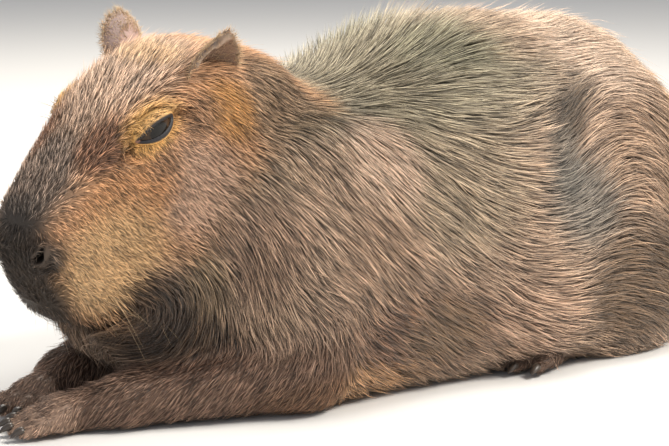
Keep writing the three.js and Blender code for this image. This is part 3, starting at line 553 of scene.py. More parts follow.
def makeStudio():
    scene = bpy.context.scene
    turn, lift = math.radians(view["azimuth"]), math.radians(view["elevation"])
    back = np.array([math.sin(turn) * math.cos(lift), -math.cos(turn) * math.cos(lift), math.sin(lift)])
    target = toWorld(np.array(view["target"]))
    lens = bpy.data.cameras.new("camera")
    lens.lens, lens.sensor_width = view["lens"], 36.0
    lens.clip_start, lens.clip_end = 0.05, 100.0
    camera = bpy.data.objects.new("camera", lens)
    camera.location = target + back * view["distance"] / 1000
    camera.rotation_euler = Vector(-back).to_track_quat("-Z", "Y").to_euler()
    scene.collection.objects.link(camera)
    scene.camera = camera

    half = studio["floorSize"] / 2
    mesh = bpy.data.meshes.new("floor")
    corners = [(-half, -half, 0), (half, -half, 0), (half, half, 0), (-half, half, 0)]
    mesh.from_pydata(corners, [], [(0, 1, 2, 3)])
    floor = bpy.data.objects.new("floor", mesh)
    scene.collection.objects.link(floor)
    material, tree, shader = newMaterial("floorPaint", roughness=0.7)
    shader.inputs["Base Color"].default_value = (*studio["floorColour"], 1)
    mesh.materials.append(material)
    floor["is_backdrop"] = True

    for name, place, size, watts, colour in studio["lamps"]:
        lamp = bpy.data.lights.new(name, "AREA")
        lamp.size, lamp.energy, lamp.color = size, watts, colour
        holder = bpy.data.objects.new(name, lamp)
        holder.location = place
        aim = Vector((-0.05, -0.02, 0.15)) - Vector(place)
        holder.rotation_euler = aim.to_track_quat("-Z", "Y").to_euler()
        scene.collection.objects.link(holder)
    world = bpy.data.worlds.new("studioAir")
    world.use_nodes = True
    sky = world.node_tree.nodes["Background"]
    sky.inputs["Color"].default_value = (*studio["worldColour"], 1)
    sky.inputs["Strength"].default_value = studio["worldStrength"]
    scene.world = world
    scene.view_settings.view_transform = "Standard"
    report("camera, floor and lights")


# Materials. Each is a Principled shader whose inputs come from groups that several of them share.
shaderInputs = {
    "roughness": "Roughness", "specular": "Specular IOR Level", "sheen": "Sheen Weight",
    "coat": "Coat Weight", "coatRoughness": "Coat Roughness",
    "subsurface": "Subsurface Weight", "subsurfaceRadius": "Subsurface Radius",
}


def newMaterial(name, **values):
    material = bpy.data.materials.new(name)
    material.use_nodes = True
    tree = material.node_tree
    shader = tree.nodes["Principled BSDF"]
    for key, value in values.items():
        shader.inputs[shaderInputs[key]].default_value = value
    return material, tree, shader


def newGroup(name, takes, gives):
    group = bpy.data.node_groups.new(name, "ShaderNodeTree")
    kinds = {"colour": "NodeSocketColor", "value": "NodeSocketFloat"}
    for label, kind, start in takes:
        group.interface.new_socket(label, in_out="INPUT", socket_type=kinds[kind]).default_value = start
    for label, kind in gives:
        group.interface.new_socket(label, in_out="OUTPUT", socket_type=kinds[kind])
    return group, group.nodes.new("NodeGroupInput"), group.nodes.new("NodeGroupOutput")


# Adds a node, sets its properties and joins its inputs to sockets or plain values.
def addNode(tree, kind, inputs=None, **properties):
    node = tree.nodes.new(kind)
    for key, value in properties.items():
        setattr(node, key, value)
    for key, value in (inputs or {}).items():
        if isinstance(value, bpy.types.NodeSocket):
            tree.links.new(value, node.inputs[key])
        else:
            node.inputs[key].default_value = value
    return node


def addMath(tree, operation, *inputs):
    return addNode(tree, "ShaderNodeMath", dict(enumerate(inputs)), operation=operation).outputs[0]


# A texture in the object's own coordinates.
def addTexture(tree, kind, **inputs):
    place = addNode(tree, "ShaderNodeTexCoord")
    return addNode(tree, kind, {"Vector": place.outputs["Object"], **inputs})


def addRamp(tree, share, stops):
    ramp = addNode(tree, "ShaderNodeValToRGB", {"Fac": share})
    for n, (at, colour) in enumerate(stops):
        stop = ramp.color_ramp.elements[n] if n < 2 else ramp.color_ramp.elements.new(at)
        stop.position, stop.color = at, (*colour, 1)
    return ramp.outputs["Color"]


# Hair's colour: a tint, darker at the roots, which is partly the hair's dark base and partly painted shade between
# the hairs, with uneven strands from noise at two sizes.
def makeFurGroup():
    group, takes, gives = newGroup(
        "furShade",
        [("Tint", "colour", (0.4, 0.3, 0.2, 1)), ("Along", "value", 1.0), ("Root Dark", "value", 0.3),
         ("Grain", "value", 0.25), ("Scale", "value", 260.0)],
        [("Colour", "colour"), ("Roughness", "value")],
    )
    noise = addTexture(group, "ShaderNodeTexNoise", Scale=takes.outputs["Scale"], Detail=3.0, Roughness=0.6)
    wide = addTexture(group, "ShaderNodeTexNoise", Scale=22.0, Detail=2.0)
    spread = addMath(group, "SUBTRACT", addMath(group, "ADD", noise.outputs["Fac"], wide.outputs["Fac"]), 1.0)
    sway = addMath(group, "MULTIPLY_ADD", spread, takes.outputs["Grain"], 1.0)
    low = addNode(group, "ShaderNodeMapRange",
                  {"Value": takes.outputs["Along"], "From Min": 0.0, "From Max": 0.75,
                   "To Min": takes.outputs["Root Dark"], "To Max": 1.0}, interpolation_type="SMOOTHSTEP")
    level = addMath(group, "MULTIPLY", sway, low.outputs[0])
    colour = addNode(group, "ShaderNodeVectorMath", {0: takes.outputs["Tint"], "Scale": level},
                     operation="SCALE")
    group.links.new(colour.outputs[0], gives.inputs["Colour"])
    rough = addNode(group, "ShaderNodeMapRange",
                    {"Value": noise.outputs["Fac"], "From Min": 0.3, "From Max": 0.7,
                     "To Min": 0.46, "To Max": 0.66})
    group.links.new(rough.outputs[0], gives.inputs["Roughness"])
    return group


# Fine grain as height: small noise over pebbles.
def makeGrainGroup():
    group, takes, gives = newGroup(
        "fineGrain", [("Scale", "value", 400.0), ("Coarse", "value", 0.4)], [("Height", "value")]
    )
    fine = addTexture(group, "ShaderNodeTexNoise", Scale=takes.outputs["Scale"], Detail=4.0).outputs["Fac"]
    pebbles = addTexture(group, "ShaderNodeTexVoronoi", Scale=300.0).outputs["Distance"]
    height = addMath(group, "MULTIPLY_ADD", pebbles, takes.outputs["Coarse"], fine)
    group.links.new(height, gives.inputs["Height"])
    return group


furGroup = makeFurGroup()
grainGroup = makeGrainGroup()


# Joins a fur group to a material's shader, with the mesh's own tint and place along the hair.
def furTree(name, rootDark, grain, scale, **values):
    material, tree, shader = newMaterial(name, **values)
    tint = addNode(tree, "ShaderNodeAttribute", attribute_name="tint").outputs["Color"]
    along = addNode(tree, "ShaderNodeAttribute", attribute_name="along").outputs["Fac"]
    inputs = {"Tint": tint, "Along": along, "Root Dark": rootDark, "Grain": grain, "Scale": scale}
    fur = addNode(tree, "ShaderNodeGroup", inputs, node_tree=furGroup)
    tree.links.new(fur.outputs["Colour"], shader.inputs["Base Color"])
    tree.links.new(fur.outputs["Roughness"], shader.inputs["Roughness"])
    return material, tree, shader


def furMaterial(name, rootDark, grain, sheen):
    return furTree(name, rootDark, grain, 260.0, sheen=sheen, specular=0.35)[0]


# Skin: hair's shading over a fine grain, given by its scale, coarseness, strength and height in metres.
def skinMaterial(name, rootDark, grain, scale, relief, **values):
    material, tree, shader = furTree(name, rootDark, grain, scale, **values)
    fine = addNode(tree, "ShaderNodeGroup", {"Scale": relief[0], "Coarse": relief[1]}, node_tree=grainGroup)
    bump = addNode(tree, "ShaderNodeBump", {"Height": fine.outputs["Height"], "Strength": relief[2],
                                            "Distance": relief[3]})
    tree.links.new(bump.outputs["Normal"], shader.inputs["Normal"])
    return material


makeStudio()


# sRGB numbers as the eye sees them, made linear.
def paint(r, g, b):
    c = np.array([r, g, b]) / 255
    return np.where(c > 0.04045, ((c + 0.055) / 1.055) ** 2.4, c / 12.92)


# Markings and painted light: soft spots of colour over the coat's ground, as centre, radii, colour and strength;
# some are partly painted shade or painted light, as noted at each. The head's are in u, |v|, w; the body's in x, |y|,
# z.
markingsAndPaintedLight = {
    "ground": paint(188, 160, 136),
    "headGround": paint(228, 174, 128),
    "foreleg": paint(124, 92, 76),
    "forefoot": paint(206, 172, 148),
    "hindfoot": paint(124, 98, 82),
    "body": [
        # the back, the shoulder, the flank and the belly's edge
        ((110, 60, 300), (185, 130, 100), paint(164, 155, 132), 0.9),
        ((110, 150, 200), (90, 60, 70), paint(184, 166, 140), 0.7),
        ((16, 145, 236), (46, 50, 50), paint(255, 222, 194), 0.95),
        ((-10, 160, 130), (60, 60, 70), paint(172, 142, 118), 0.7),
        ((50, 170, 60), (110, 70, 50), paint(128, 95, 74), 0.85),
        ((190, 180, 60), (60, 70, 50), paint(206, 172, 146), 0.8),
        ((-40, 150, 16), (110, 80, 28), paint(208, 162, 116), 0.75),
        # the rump and the hollow before it, whose dark spots are partly painted shade
        ((350, 70, 320), (80, 110, 56), paint(255, 226, 200), 0.97),
        ((240, 80, 345), (60, 70, 34), paint(188, 162, 138), 0.7),
        ((160, 70, 332), (70, 60, 30), paint(136, 132, 108), 0.7),
        ((76, 170, 62), (56, 60, 40), paint(138, 114, 90), 0.8),
        # the hollow: a darker parting in the coat, deepened with painted shade of the fold
        ((296, 136, 286), (26, 50, 22), paint(112, 96, 78), 0.75),
        ((262, 144, 258), (30, 50, 34), paint(74, 63, 51), 0.88),
        ((238, 156, 210), (32, 50, 44), paint(118, 110, 98), 0.8),
        ((256, 170, 172), (60, 50, 54), paint(122, 116, 106), 0.85),
        ((360, 180, 210), (60, 60, 60), paint(182, 152, 126), 0.7),
        # the haunch's lower part: darker coat, partly painted shade
        ((340, 190, 80), (105, 60, 70), paint(108, 86, 64), 0.85),
        ((460, 60, 200), (60, 130, 150), paint(206, 164, 116), 0.8),
        # the neck, the ruff and the throat; the low ruff and the throat are partly painted shade
        ((-100, 90, 250), (70, 60, 50), paint(168, 144, 120), 0.9),
        ((-110, 110, 160), (50, 50, 50), paint(168, 138, 116), 0.8),
        ((-50, 90, 300), (60, 60, 40), paint(148, 132, 108), 0.9),
        ((-165, 84, 130), (30, 40, 40), paint(140, 118, 92), 0.9),
        # the low ruff and the throat: dark fur, darkened further with painted shade under the jaw
        ((-180, 70, 74), (70, 80, 32), paint(84, 64, 46), 0.9),
        ((-220, 66, 108), (60, 60, 48), paint(52, 37, 26), 0.9),
    ],
    "head": [
        ((60, 0, 105), (100, 62, 34), paint(206, 176, 152), 1.0),
        ((-20, 86, 0), (44, 50, 80), paint(160, 134, 108), 0.9),
        ((100, 80, 4), (54, 34, 50), paint(244, 204, 176), 0.9),
        ((160, 64, 40), (60, 34, 38), paint(236, 176, 122), 1.0),
        # the lower cheek: golden fur, brightened partly with painted light
        ((204, 56, -2), (66, 36, 54), paint(255, 210, 154), 0.95),
        ((28, 80, 46), (24, 24, 34), paint(240, 178, 104), 0.9),
        ((56, 76, 60), (26, 22, 18), paint(150, 114, 86), 0.7),
        ((150, 50, -90), (90, 80, 30), paint(84, 60, 42), 0.95),
        # the jaw's lower edge: darker fur with painted shadow where the jaw overhangs the throat
        ((186, 62, -54), (44, 34, 24), paint(74, 53, 37), 0.9),
        # under the nose: darker fur, partly painted shade
        ((236, 14, -72), (44, 44, 26), paint(92, 72, 50), 0.9),
        ((206, 0, 88), (80, 46, 40), paint(112, 102, 95), 0.9),
        ((258, 0, 76), (44, 44, 34), paint(64, 61, 58), 0.9),
        ((268, 4, 0), (40, 44, 90), paint(36, 35, 33), 0.97),
        ((148, 42, 90), (36, 24, 24), paint(112, 70, 46), 0.9),
        ((102, 62, 80), (33, 26, 22), paint(255, 200, 118), 1.0),
        ((114, 72, 46), (20, 20, 13), paint(150, 112, 82), 0.8),
        ((252, 32, 44), (26, 20, 20), paint(38, 36, 35), 0.97),
        ((28, 0, 104), (26, 56, 12), paint(222, 184, 138), 0.7),
    ],
}


# Lays each spot over the colours: full within 0.55 of its radii and none beyond 1.3.
def spotted(colour, place, spots):
    for centre, radii, tint, strength in spots:
        reach = np.linalg.norm((place - np.array(centre)) / np.array(radii), axis=1)
        share = (strength * smoothStep((1.3 - reach) / 0.75))[:, None]
        colour = colour + (tint - colour) * share
    return colour


# How much a place belongs to the head, the forelegs, the forefeet and the hind feet, each from 0 to 1.
def shares(p):
    headShare = smoothStep((26 - headField(p)) / 34)
    legShare = smoothStep((12 - forelegField(p)) / 20) * (1 - headShare)
    pawShare = smoothStep((-272 - p[:, 0] + 40 * (p[:, 1] > 0)) / 24) * legShare
    hindShare = smoothStep((10 - hindFootField(p)) / 14)
    return headShare, legShare, pawShare, hindShare


def folded(q):
    return np.column_stack([q[:, 0], np.abs(q[:, 1]), q[:, 2]])


def coatTint(p):
    headShare, legShare, pawShare, hindShare = shares(p)
    body = spotted(np.tile(markingsAndPaintedLight["ground"], (len(p), 1)), folded(p), markingsAndPaintedLight["body"])
    face = spotted(np.tile(markingsAndPaintedLight["headGround"], (len(p), 1)), folded(headCoordinates(p)), markingsAndPaintedLight["head"])
    colour = body + (face - body) * headShare[:, None]
    for share, tint in ((legShare, "foreleg"), (pawShare, "forefoot"), (hindShare, "hindfoot")):
        colour = colour + (markingsAndPaintedLight[tint] - colour) * share[:, None]
    return colour


# The skin's own mesh
halfLine = gradedLine(0, 214, lambda y: 2.7 + 3.2 * float(smoothStep((y - 78) / 40)))
skinLines = [
    gradedLine(-356, 506, lambda x: 2.45 + 4.4 * float(smoothStep((x + 125) / 80))),
    np.concatenate([-halfLine[:0:-1], halfLine]) + 0.3,
    gradedLine(-4, 384, lambda z: 2.7 + 1.5 * float(smoothStep((z - 335) / 30))),
]
points, quads = surfaceNet(skinField, skinLines, 1.4)
points = settle(skinField, points)
report(f"skin: {len(points)} points, {len(quads)} quads")
skinPelt = skinMaterial("skinPelt", 0.22, 0.5, 220.0, (352.0, 0.4, 0.5, 0.001), specular=0.3)
skinPiece = addMesh("skin", points, quads, skinPelt)
addColour(skinPiece, "tint", coatTint(points))
# the skin takes the hairs' root darkening: partly its own colour, partly painted shade under the coat
addValue(skinPiece, "along", np.full(len(points), 0.3))
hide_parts("torso", "neck", "head", "hindleg_left", "hindleg_right", "hindfoot_left", "hindfoot_right",
            "foreleg_left", "foreleg_right", "forefoot_left", "forefoot_right")


# Waves in fixed random directions: their sum is a smooth noise, their slopes' sum gathers hair into locks.
def waves(p, wavelength, seed, slopes=False, count=7):
    chance = np.random.default_rng(seed)
    ways = unit(chance.normal(size=(count, 3)))
    phases, rates = chance.uniform(0, 2 * math.pi, count), chance.uniform(0.7, 1.4, count)
    angles = (p @ ways.T) * (2 * math.pi * rates / wavelength) + phases
    if slopes:
        return np.cos(angles) @ ways * math.sqrt(6 / count)
    return np.sin(angles).sum(axis=1) * math.sqrt(2 / count)


# Which way the coat lies, as degrees from straight back to straight down: on the body by x at four heights, on the
# head for its sides and its top.
lie = {
    "body": profile([
        # x, then at heights 70, 180, 265 and 320
        (-300, 60, 50, 50, 50), (-150, 36, 44, 52, 50), (-90, 26, 44, 64, 66), (-40, 26, 54, 74, 74),
        (0, 26, 52, 76, 66), (50, 30, 46, 72, 54), (100, 32, 44, 40, 42), (160, 14, 18, 14, 42), (205, 0, -2, -4, 42),
        (240, -2, -22, -30, 30), (290, 8, -22, -34, 22), (325, 24, 32, 12, 14), (350, 32, 48, 54, 28),
        (385, 42, 62, 68, 58), (430, 54, 76, 84, 80), (500, 70, 92, 100, 100),
    ]),
    "heights": (70.0, 180.0, 265.0, 320.0),
    "swirl": (-222.0, 129.0),
    "swirlReach": 150.0,
    "headSide": 74.0,
    "headTop": -12.0,
    "eyeReach": 13.0,
    "legs": {"left": unit(np.array((-200.0, 60.0, -150.0))),
             "right": unit(np.array((-165.0, -50.0, -110.0)))},
    "hindfoot": (-1.0, 0.0, -0.3),
}


# Nearness to an eye's opening, 1 at the lids, and the way that leads from it.
def byEye(p, side, reach):
    a, b, q = eyeAngles(p, side)
    near = np.where(q[:, 2] > 2, smoothStep(1 - almondField(a, b) / reach), 0.0)
    near = near * smoothStep((eye["radius"] + 22 - np.linalg.norm(q, axis=1)) / 12)
    step = 0.01
    slopeA = almondField(a + step, b) - almondField(a - step, b)
    slopeB = almondField(a, b + step) - almondField(a, b - step)
    along, up, out = eyeSides[side]["axes"]
    return near, unit(slopeA[:, None] * along + slopeB[:, None] * up)


def lieDirection(p):
    x, y, z = p.T
    headShare, legShare, pawShare, hindShare = shares(p)
    turns, heights = lie["body"](x), lie["heights"]
    turn = turns[0]
    for n in range(1, 4):
        between = np.clip((z - heights[n - 1]) / (heights[n] - heights[n - 1]), 0, 1)
        turn = turn + (turns[n] - turns[n - 1]) * between
    turn = np.radians(turn)
    way = np.column_stack([np.cos(turn), np.zeros(len(p)), -np.sin(turn)])
    rx, rz = x - lie["swirl"][0], z - lie["swirl"][1]
    r = np.hypot(rx, rz)
    swirl = np.column_stack([rz, np.zeros(len(p)), -rx]) / np.maximum(r, 20)[:, None]
    share = smoothStep((lie["swirlReach"] - r) / 110) * smoothStep((np.abs(y) - 10) / 40)
    way = way + (swirl - way) * share[:, None]
    u, v, w = headCoordinates(p).T
    top = smoothStep((w - 62) / 22) * smoothStep((56 - np.abs(v)) / 16)
    turn = np.radians(lie["headSide"] + (lie["headTop"] - lie["headSide"]) * top)
    face = np.column_stack([-np.cos(turn), 0.25 * v / 60 * top, -np.sin(turn)])
    nose = smoothStep((u - 240) / 24) * smoothStep((w + 30) / 40)
    face = face * (1 - nose)[:, None] + np.column_stack([-0.15 * nose, nose * 0.4 * v / 30, nose * 0.8])
    axes = np.array([headDirection(axis) for axis in np.eye(3)])
    way = way + (face @ axes - way) * headShare[:, None]
    for side in sides:
        near, away = byEye(p, side, lie["eyeReach"])
        above = smoothStep(eyeAngles(p, side)[1] / 0.15)
        way = way + ((0.7 + 1.0 * above) * near)[:, None] * away
    legWay = np.where((y < 0)[:, None], lie["legs"]["left"], lie["legs"]["right"])
    way = way + (legWay - way) * legShare[:, None]
    return way + (np.array(lie["hindfoot"]) - way) * hindShare[:, None]


# The coat: lengths in millimetres, and how steeply it rises as a share of its length.
coat = {
    "length": 42.0,
    "headLength": profile([(-70, 26), (20, 19), (100, 13), (180, 10.5), (240, 7), (280, 5)]),
    "legLength": 13.0,
    "footLength": 7.0,
    "eyeLength": 6.5,
    "longer": {"ridge": 5.0, "low": -12.0, "neck": -8.0, "chin": 18.0, "brow": 1.5},
    "lift": {"body": 0.18, "ridge": 0.34, "rump": 0.1, "head": 0.22, "chin": 0.1, "brow": 0.16, "nose": 0.12,
             "leg": 0.22, "eye": 0.26, "guard": 0.08},
    "rootDepth": 1.5,
    "lengthSpread": 0.2,
    "guardShare": 0.04,
    "guardReach": 1.35,
    "lockSize": 7.0,
    "lockPull": 2.2,
    "swaySize": 50.0,
    "swayWide": 0.07,
    "swayEach": 0.07,
    "driftSize": 26.0,
    "drift": 0.12,
    "darkLevel": 0.36,
    "lightLevel": 1.12,
    "brightest": 0.92,
}


def coatShape(p, n):
    x, y, z = p.T
    headShare, legShare, pawShare, hindShare = shares(p)
    u, v, w = headCoordinates(p).T
    longer, rise = coat["longer"], coat["lift"]
    ridge = smoothStep((n[:, 2] - 0.72) / 0.22) * smoothStep((z - 240) / 60)
    length = coat["length"] + longer["ridge"] * ridge + longer["low"] * smoothStep((80 - z) / 60)
    length = length + longer["neck"] * smoothStep((-20 - x) / 80)
    lift = rise["body"] + rise["ridge"] * ridge * smoothStep((220 - x) / 110)
    lift = lift + rise["rump"] * smoothStep((x - 400) / 60)
    chin = smoothStep((-18 - w) / 40) * smoothStep((u - 130) / 50)
    brow = smoothStep((w - 80) / 16) * smoothStep((170 - u) / 60)
    faceLength = coat["headLength"](u)[0] + longer["chin"] * chin + longer["brow"] * brow
    nose = smoothStep((u - 220) / 30)
    faceLift = rise["head"] + rise["chin"] * chin + rise["brow"] * brow + rise["nose"] * nose
    length = length + (faceLength - length) * headShare
    lift = lift + (faceLift - lift) * headShare
    length = length + (coat["legLength"] - length) * legShare
    length = length + (coat["footLength"] - length) * np.maximum(pawShare, hindShare)
    lift = lift + (rise["leg"] - lift) * np.maximum(legShare, hindShare)
    for side in sides:
        nearEye = byEye(p, side, lie["eyeReach"])[0]
        length = length + (coat["eyeLength"] - length) * nearEye
        lift = lift + (rise["eye"] - lift) * nearEye
    return length, lift


# How densely tufts are rooted: none on lids and eyes, in nostrils and at the ground, few under the body.
def bareness(p, n):
    free = np.ones(len(p))
    for side, sign in sides.items():
        a, b, q = eyeAngles(p, side)
        near = (np.linalg.norm(q, axis=1) < eye["radius"] + 5) & (q[:, 2] > 0)
        free[near & (almondField(a, b) < np.where(b > 0, 4.2, 3.2))] = 0
        free *= 1 + 1.8 * byEye(p, side, 14)[0]
        place, axes = nostrilFrame(sign)
        r = (p - place) @ axes.T
        free[np.linalg.norm(r / np.array([9.0, 20.0, 5.2]), axis=1) < 1] = 0
    free *= 1 - 0.8 * smoothStep((-0.55 - n[:, 2]) / 0.3)
    free[p[:, 2] < 4] = 0
    return free


def withSlope(field, p, step=0.7):
    d = field(p)
    slopes = [field(p + step * axis) - d for axis in np.eye(3)]
    return d, unit(np.column_stack(slopes))


# Roots spread over the skin: even steps along the running sum of area times weight.
triangles = np.concatenate([quads[:, [0, 1, 2]], quads[:, [0, 2, 3]]])
corner = points[triangles]
cross = np.cross(corner[:, 1] - corner[:, 0], corner[:, 2] - corner[:, 0])
area = np.linalg.norm(cross, axis=1) / 2
faceNormal = cross / np.maximum(2 * area, 1e-9)[:, None]
faceCentre = corner.mean(axis=1)
free = bareness(faceCentre, faceNormal)


def drawRoots(count, weight):
    running = np.cumsum(area * free * weight)
    chosen = np.searchsorted(running, (np.arange(count) + draw.random(count)) / count * running[-1])
    one, two = np.sqrt(draw.random(count))[:, None], draw.random(count)[:, None]
    a, b, c = corner[chosen].transpose(1, 0, 2)
    return a * (1 - one) + b * one * (1 - two) + c * one * two


# A closed tuft of three sides: rings of shares of its width at shares of its length, then a tip.
tuftRings = {
    2: {"along": (0.0, 0.45, 1.0), "width": (0.75, 1.0)},
    3: {"along": (0.0, 0.3, 0.66, 1.0), "width": (0.7, 1.0, 0.66)},
}


def growTufts(root, settings):
    rings = settings["rings"]
    along, count = tuftRings[rings]["along"], len(root)
    normal = withSlope(skinField, root)[1]
    length, lift = coatShape(root, normal)
    length = length * (1 + coat["lengthSpread"] * draw.uniform(-1, 1, count))
    guard = draw.random(count) < coat["guardShare"]
    length = np.where(guard, length * coat["guardReach"], length)
    lift = lift * draw.uniform(0.6, 1.4, count) + np.where(guard, coat["lift"]["guard"], 0)
    sway = coat["swayWide"] * waves(root, coat["swaySize"], 5) + coat["swayEach"] * draw.normal(size=count)
    width = settings["width"] * draw.uniform(0.75, 1.25, count)
    pull = np.minimum(coat["lockPull"], length * 0.16)[:, None]
    gather = -waves(root, coat["lockSize"] * settings.get("lockScale", 1.0), 9, slopes=True)
    path, ups = [root - normal * coat["rootDepth"]], [normal]
    at, up, heading = root, normal, None
    for k in range(1, rings + 1):
        way = lieDirection(at)
        way = unit(way - up * np.sum(way * up, axis=1, keepdims=True))
        way = unit(way + np.cross(up, way) * sway[:, None])
        heading = way if heading is None else unit(0.5 * heading + 0.5 * way)
        step = (length * (along[k] - along[k - 1]))[:, None]
        at = at + heading * step
        gathered = gather - up * np.sum(gather * up, axis=1, keepdims=True)
        at = at + gathered * pull * (along[k] ** 2 - along[k - 1] ** 2)
        d, up = withSlope(skinField, at)
        height = length * lift * along[k] ** 1.15
        at = at + up * np.clip(height - d, -12, 12)[:, None]
        low = skin["floorGap"] + 0.5 - at[:, 2]
        at = at + np.column_stack([np.zeros(count), np.zeros(count), np.maximum(low, 0)])
        path.append(at)
        ups.append(up)
    return tuftVertices(path, ups, width, rings), guard, path[-2]


def tuftVertices(path, ups, width, rings):
    widths = tuftRings[rings]["width"]
    vertices = np.zeros((len(width), rings * 3 + 1, 3))
    for k in range(rings):
        ahead = unit(path[k + 1] - path[k])
        side = unit(np.cross(ahead, ups[k]))
        half = (width * widths[k] / 2)[:, None]
        vertices[:, 3 * k] = path[k] - side * half
        vertices[:, 3 * k + 1] = path[k] + side * half
        vertices[:, 3 * k + 2] = path[k] + ups[k] * half * 0.7
    vertices[:, -1] = path[-1]
    return vertices


# The corners of one tuft's triangles, all facing outward.
def tuftFaces(rings):
    faces = [(0, 2, 1)]
    for k in range(rings - 1):
        low = 3 * k
        for a, b in ((0, 1), (1, 2), (2, 0)):
            faces += [(low + a, low + b, low + 3 + b), (low + a, low + 3 + b, low + 3 + a)]
    low = 3 * (rings - 1)
    faces += [(low + a, low + b, 3 * rings) for a, b in ((0, 1), (1, 2), (2, 0))]
    return np.array(faces)


# The unwrap of the skin's own shape that the tufts' patches lie on: charts of length and angle round an axis.
atlas = {
    "patch": 0.003,
    "trunk": (0.01, 0.35, 0.98, 0.64),
    "head": (0.01, 0.01, 0.48, 0.31),
    "legs": (0.51, 0.01, 0.30, 0.31),
    "ears": (0.83, 0.01, 0.15, 0.31),
}


# Beyond low and high the chart turns inward, so that the form's ends unwrap as well.
def rounded(at, low, high, radius, reach):
    r = np.maximum(radius, 1)
    at = np.where(at > high, high + reach * np.arctan2(at - high, r), at)
    return np.where(at < low, low - reach * np.arctan2(low - at, r), at)


def atlasPlace(p):
    headShare, legShare, _, _ = shares(p)
    x, y, z = p.T
    r = np.hypot(y, z - 150)
    trunkU = (rounded(x, -120, 385, r, 130) + 330) / 925
    trunkV = np.arctan2(y, z - 150) / (2 * math.pi) + 0.5
    u, v, w = headCoordinates(p).T
    headU = (rounded(u, -40, 200, np.hypot(v, w), 60) + 140) / 440
    headV = np.arctan2(v, w - 5) / (2 * math.pi) + 0.5
    side = np.where(y < 0, 0.0, 0.5)
    axisY, axisZ = np.where(y < 0, -0.38 * x - 135, 0.33 * x + 142), 0.12 * x + 50
    legU = np.clip((x + 360) / 330, 0, 1)
    legV = side + (np.arctan2(np.abs(y) - np.abs(axisY), z - axisZ) / (2 * math.pi) + 0.5) * 0.49
    place = np.zeros((len(p), 2))
    charts = {"trunk": (trunkU, trunkV, headShare < 2), "legs": (legU, legV, legShare > 0.5),
              "head": (headU, headV, headShare > 0.5)}
    for name, (a, b, isHere) in charts.items():
        left, low, wide, high = atlas[name]
        spot = np.column_stack([left + wide * np.clip(a, 0, 1), low + high * np.clip(b, 0, 1)])
        place = np.where(isHere[:, None], spot, place)
    return place


# Adds a region's tufts in pieces, each with its colours and its patches on the unwrap.
def addTufts(name, vertices, tint, spots, settings):
    rings = settings["rings"]
    one, size = tuftFaces(rings), rings * 3 + 1
    shareAlong = np.concatenate([np.repeat(tuftRings[rings]["along"][:rings], 3), [1.0]])
    shareAcross = np.concatenate([np.tile([0.0, 1.0, 0.5], rings), [0.5]])
    patch = np.column_stack([shareAcross, shareAlong]) * atlas["patch"]
    for n in range(settings["pieces"]):
        part = slice(n, None, settings["pieces"])
        shape, count = vertices[part], len(vertices[part])
        faces = (one[None] + (np.arange(count) * size)[:, None, None]).reshape(-1, 3)
        piece = addMesh(f"{name}_{n + 1}", shape.reshape(-1, 3), faces, settings["material"])
        addColour(piece, "tint", np.repeat(tint[part], size, axis=0))
        addValue(piece, "along", np.tile(shareAlong, count))
        layer = piece.data.uv_layers.new(name="OFBake")
        uv = (spots[part][:, None] + patch[None]).reshape(-1, 2)[faces.ravel()]
        layer.data.foreach_set("uv", uv.astype(np.float32).ravel())
    report(f"{name}: {len(vertices)} tufts")


# Each tuft's own shade: the coat's tint where it is seen, uneven from one to the next and in broad drifts.
def tuftTint(root, seen, guard, settings):
    drift = coat["drift"] * waves(root, coat["driftSize"], 17)
    level = np.exp(settings["contrast"] * draw.normal(size=len(root)) + drift)
    isDark = draw.random(len(root)) < settings["darkShare"]
    level = level * np.where(isDark, coat["darkLevel"], coat["lightLevel"])
    level = np.where(guard, np.maximum(level, 1) * 1.2, level)
    tint = coatTint(seen)
    return tint * np.minimum(level, coat["brightest"] / tint.max(axis=1))[:, None]


def coatRegion(name, count, weight, settings):
    root = drawRoots(count, weight)
    vertices, guard, seen = growTufts(root, settings)
    addTufts(name, vertices, tuftTint(root, seen, guard, settings), atlasPlace(root), settings)


# darker roots: partly the hairs' dark base, partly painted shade between the hairs
longFur = furMaterial("longFur", 0.22, 0.3, 0.1)
shortFur = furMaterial("shortFur", 0.16, 0.25, 0.05)
headPart, legPart, _, hindPart = shares(faceCentre)
front = smoothStep((-10 - faceCentre[:, 0]) / 40)
footPart = np.maximum(legPart, hindPart) >= 0.5
rest = (headPart < 0.5) & ~footPart
coats = {
    "bodyCoat": (50000, rest * (1 - front), {
        "rings": 3, "width": 1.1, "pieces": 5, "slot": "coat", "material": longFur,
        "contrast": 0.3, "darkShare": 0.25}),
    "neckCoat": (14500, rest * front, {
        "rings": 3, "width": 1.05, "pieces": 2, "slot": "coat", "material": longFur,
        "contrast": 0.34, "darkShare": 0.3}),
    "faceFur": (31000, headPart >= 0.5, {
        "rings": 2, "width": 0.76, "pieces": 2, "slot": "face_fur", "material": shortFur, "lockScale": 0.7,
        "contrast": 0.4, "darkShare": 0.32}),
    "legFur": (9000, footPart & (headPart < 0.5), {
        "rings": 2, "width": 1.0, "pieces": 1, "slot": "leg_fur", "material": shortFur, "lockScale": 0.7,
        "contrast": 0.25, "darkShare": 0.2}),
}
for name, (count, weight, settings) in coats.items():
    coatRegion(name, count, weight, settings)


# Two triangles for each side between pairs of rings, which are given by the numbers of their first points.
def bandFaces(pairs, sideCount):
    here = np.arange(sideCount)
    after = (here + 1) % sideCount
    faces = []
    for low, high in pairs:
        faces.append(np.column_stack([low + here, low + after, high + here]))
        faces.append(np.column_stack([low + after, high + after, high + here]))
    return np.concatenate(faces)


# The faces of a closed form, turned outward.
def outwardFaces(shape, faces):
    a, b, c = (shape - shape.mean(axis=0))[faces].transpose(1, 0, 2)
    return faces if np.sum(a * np.cross(b, c)) > 0 else faces[:, ::-1]


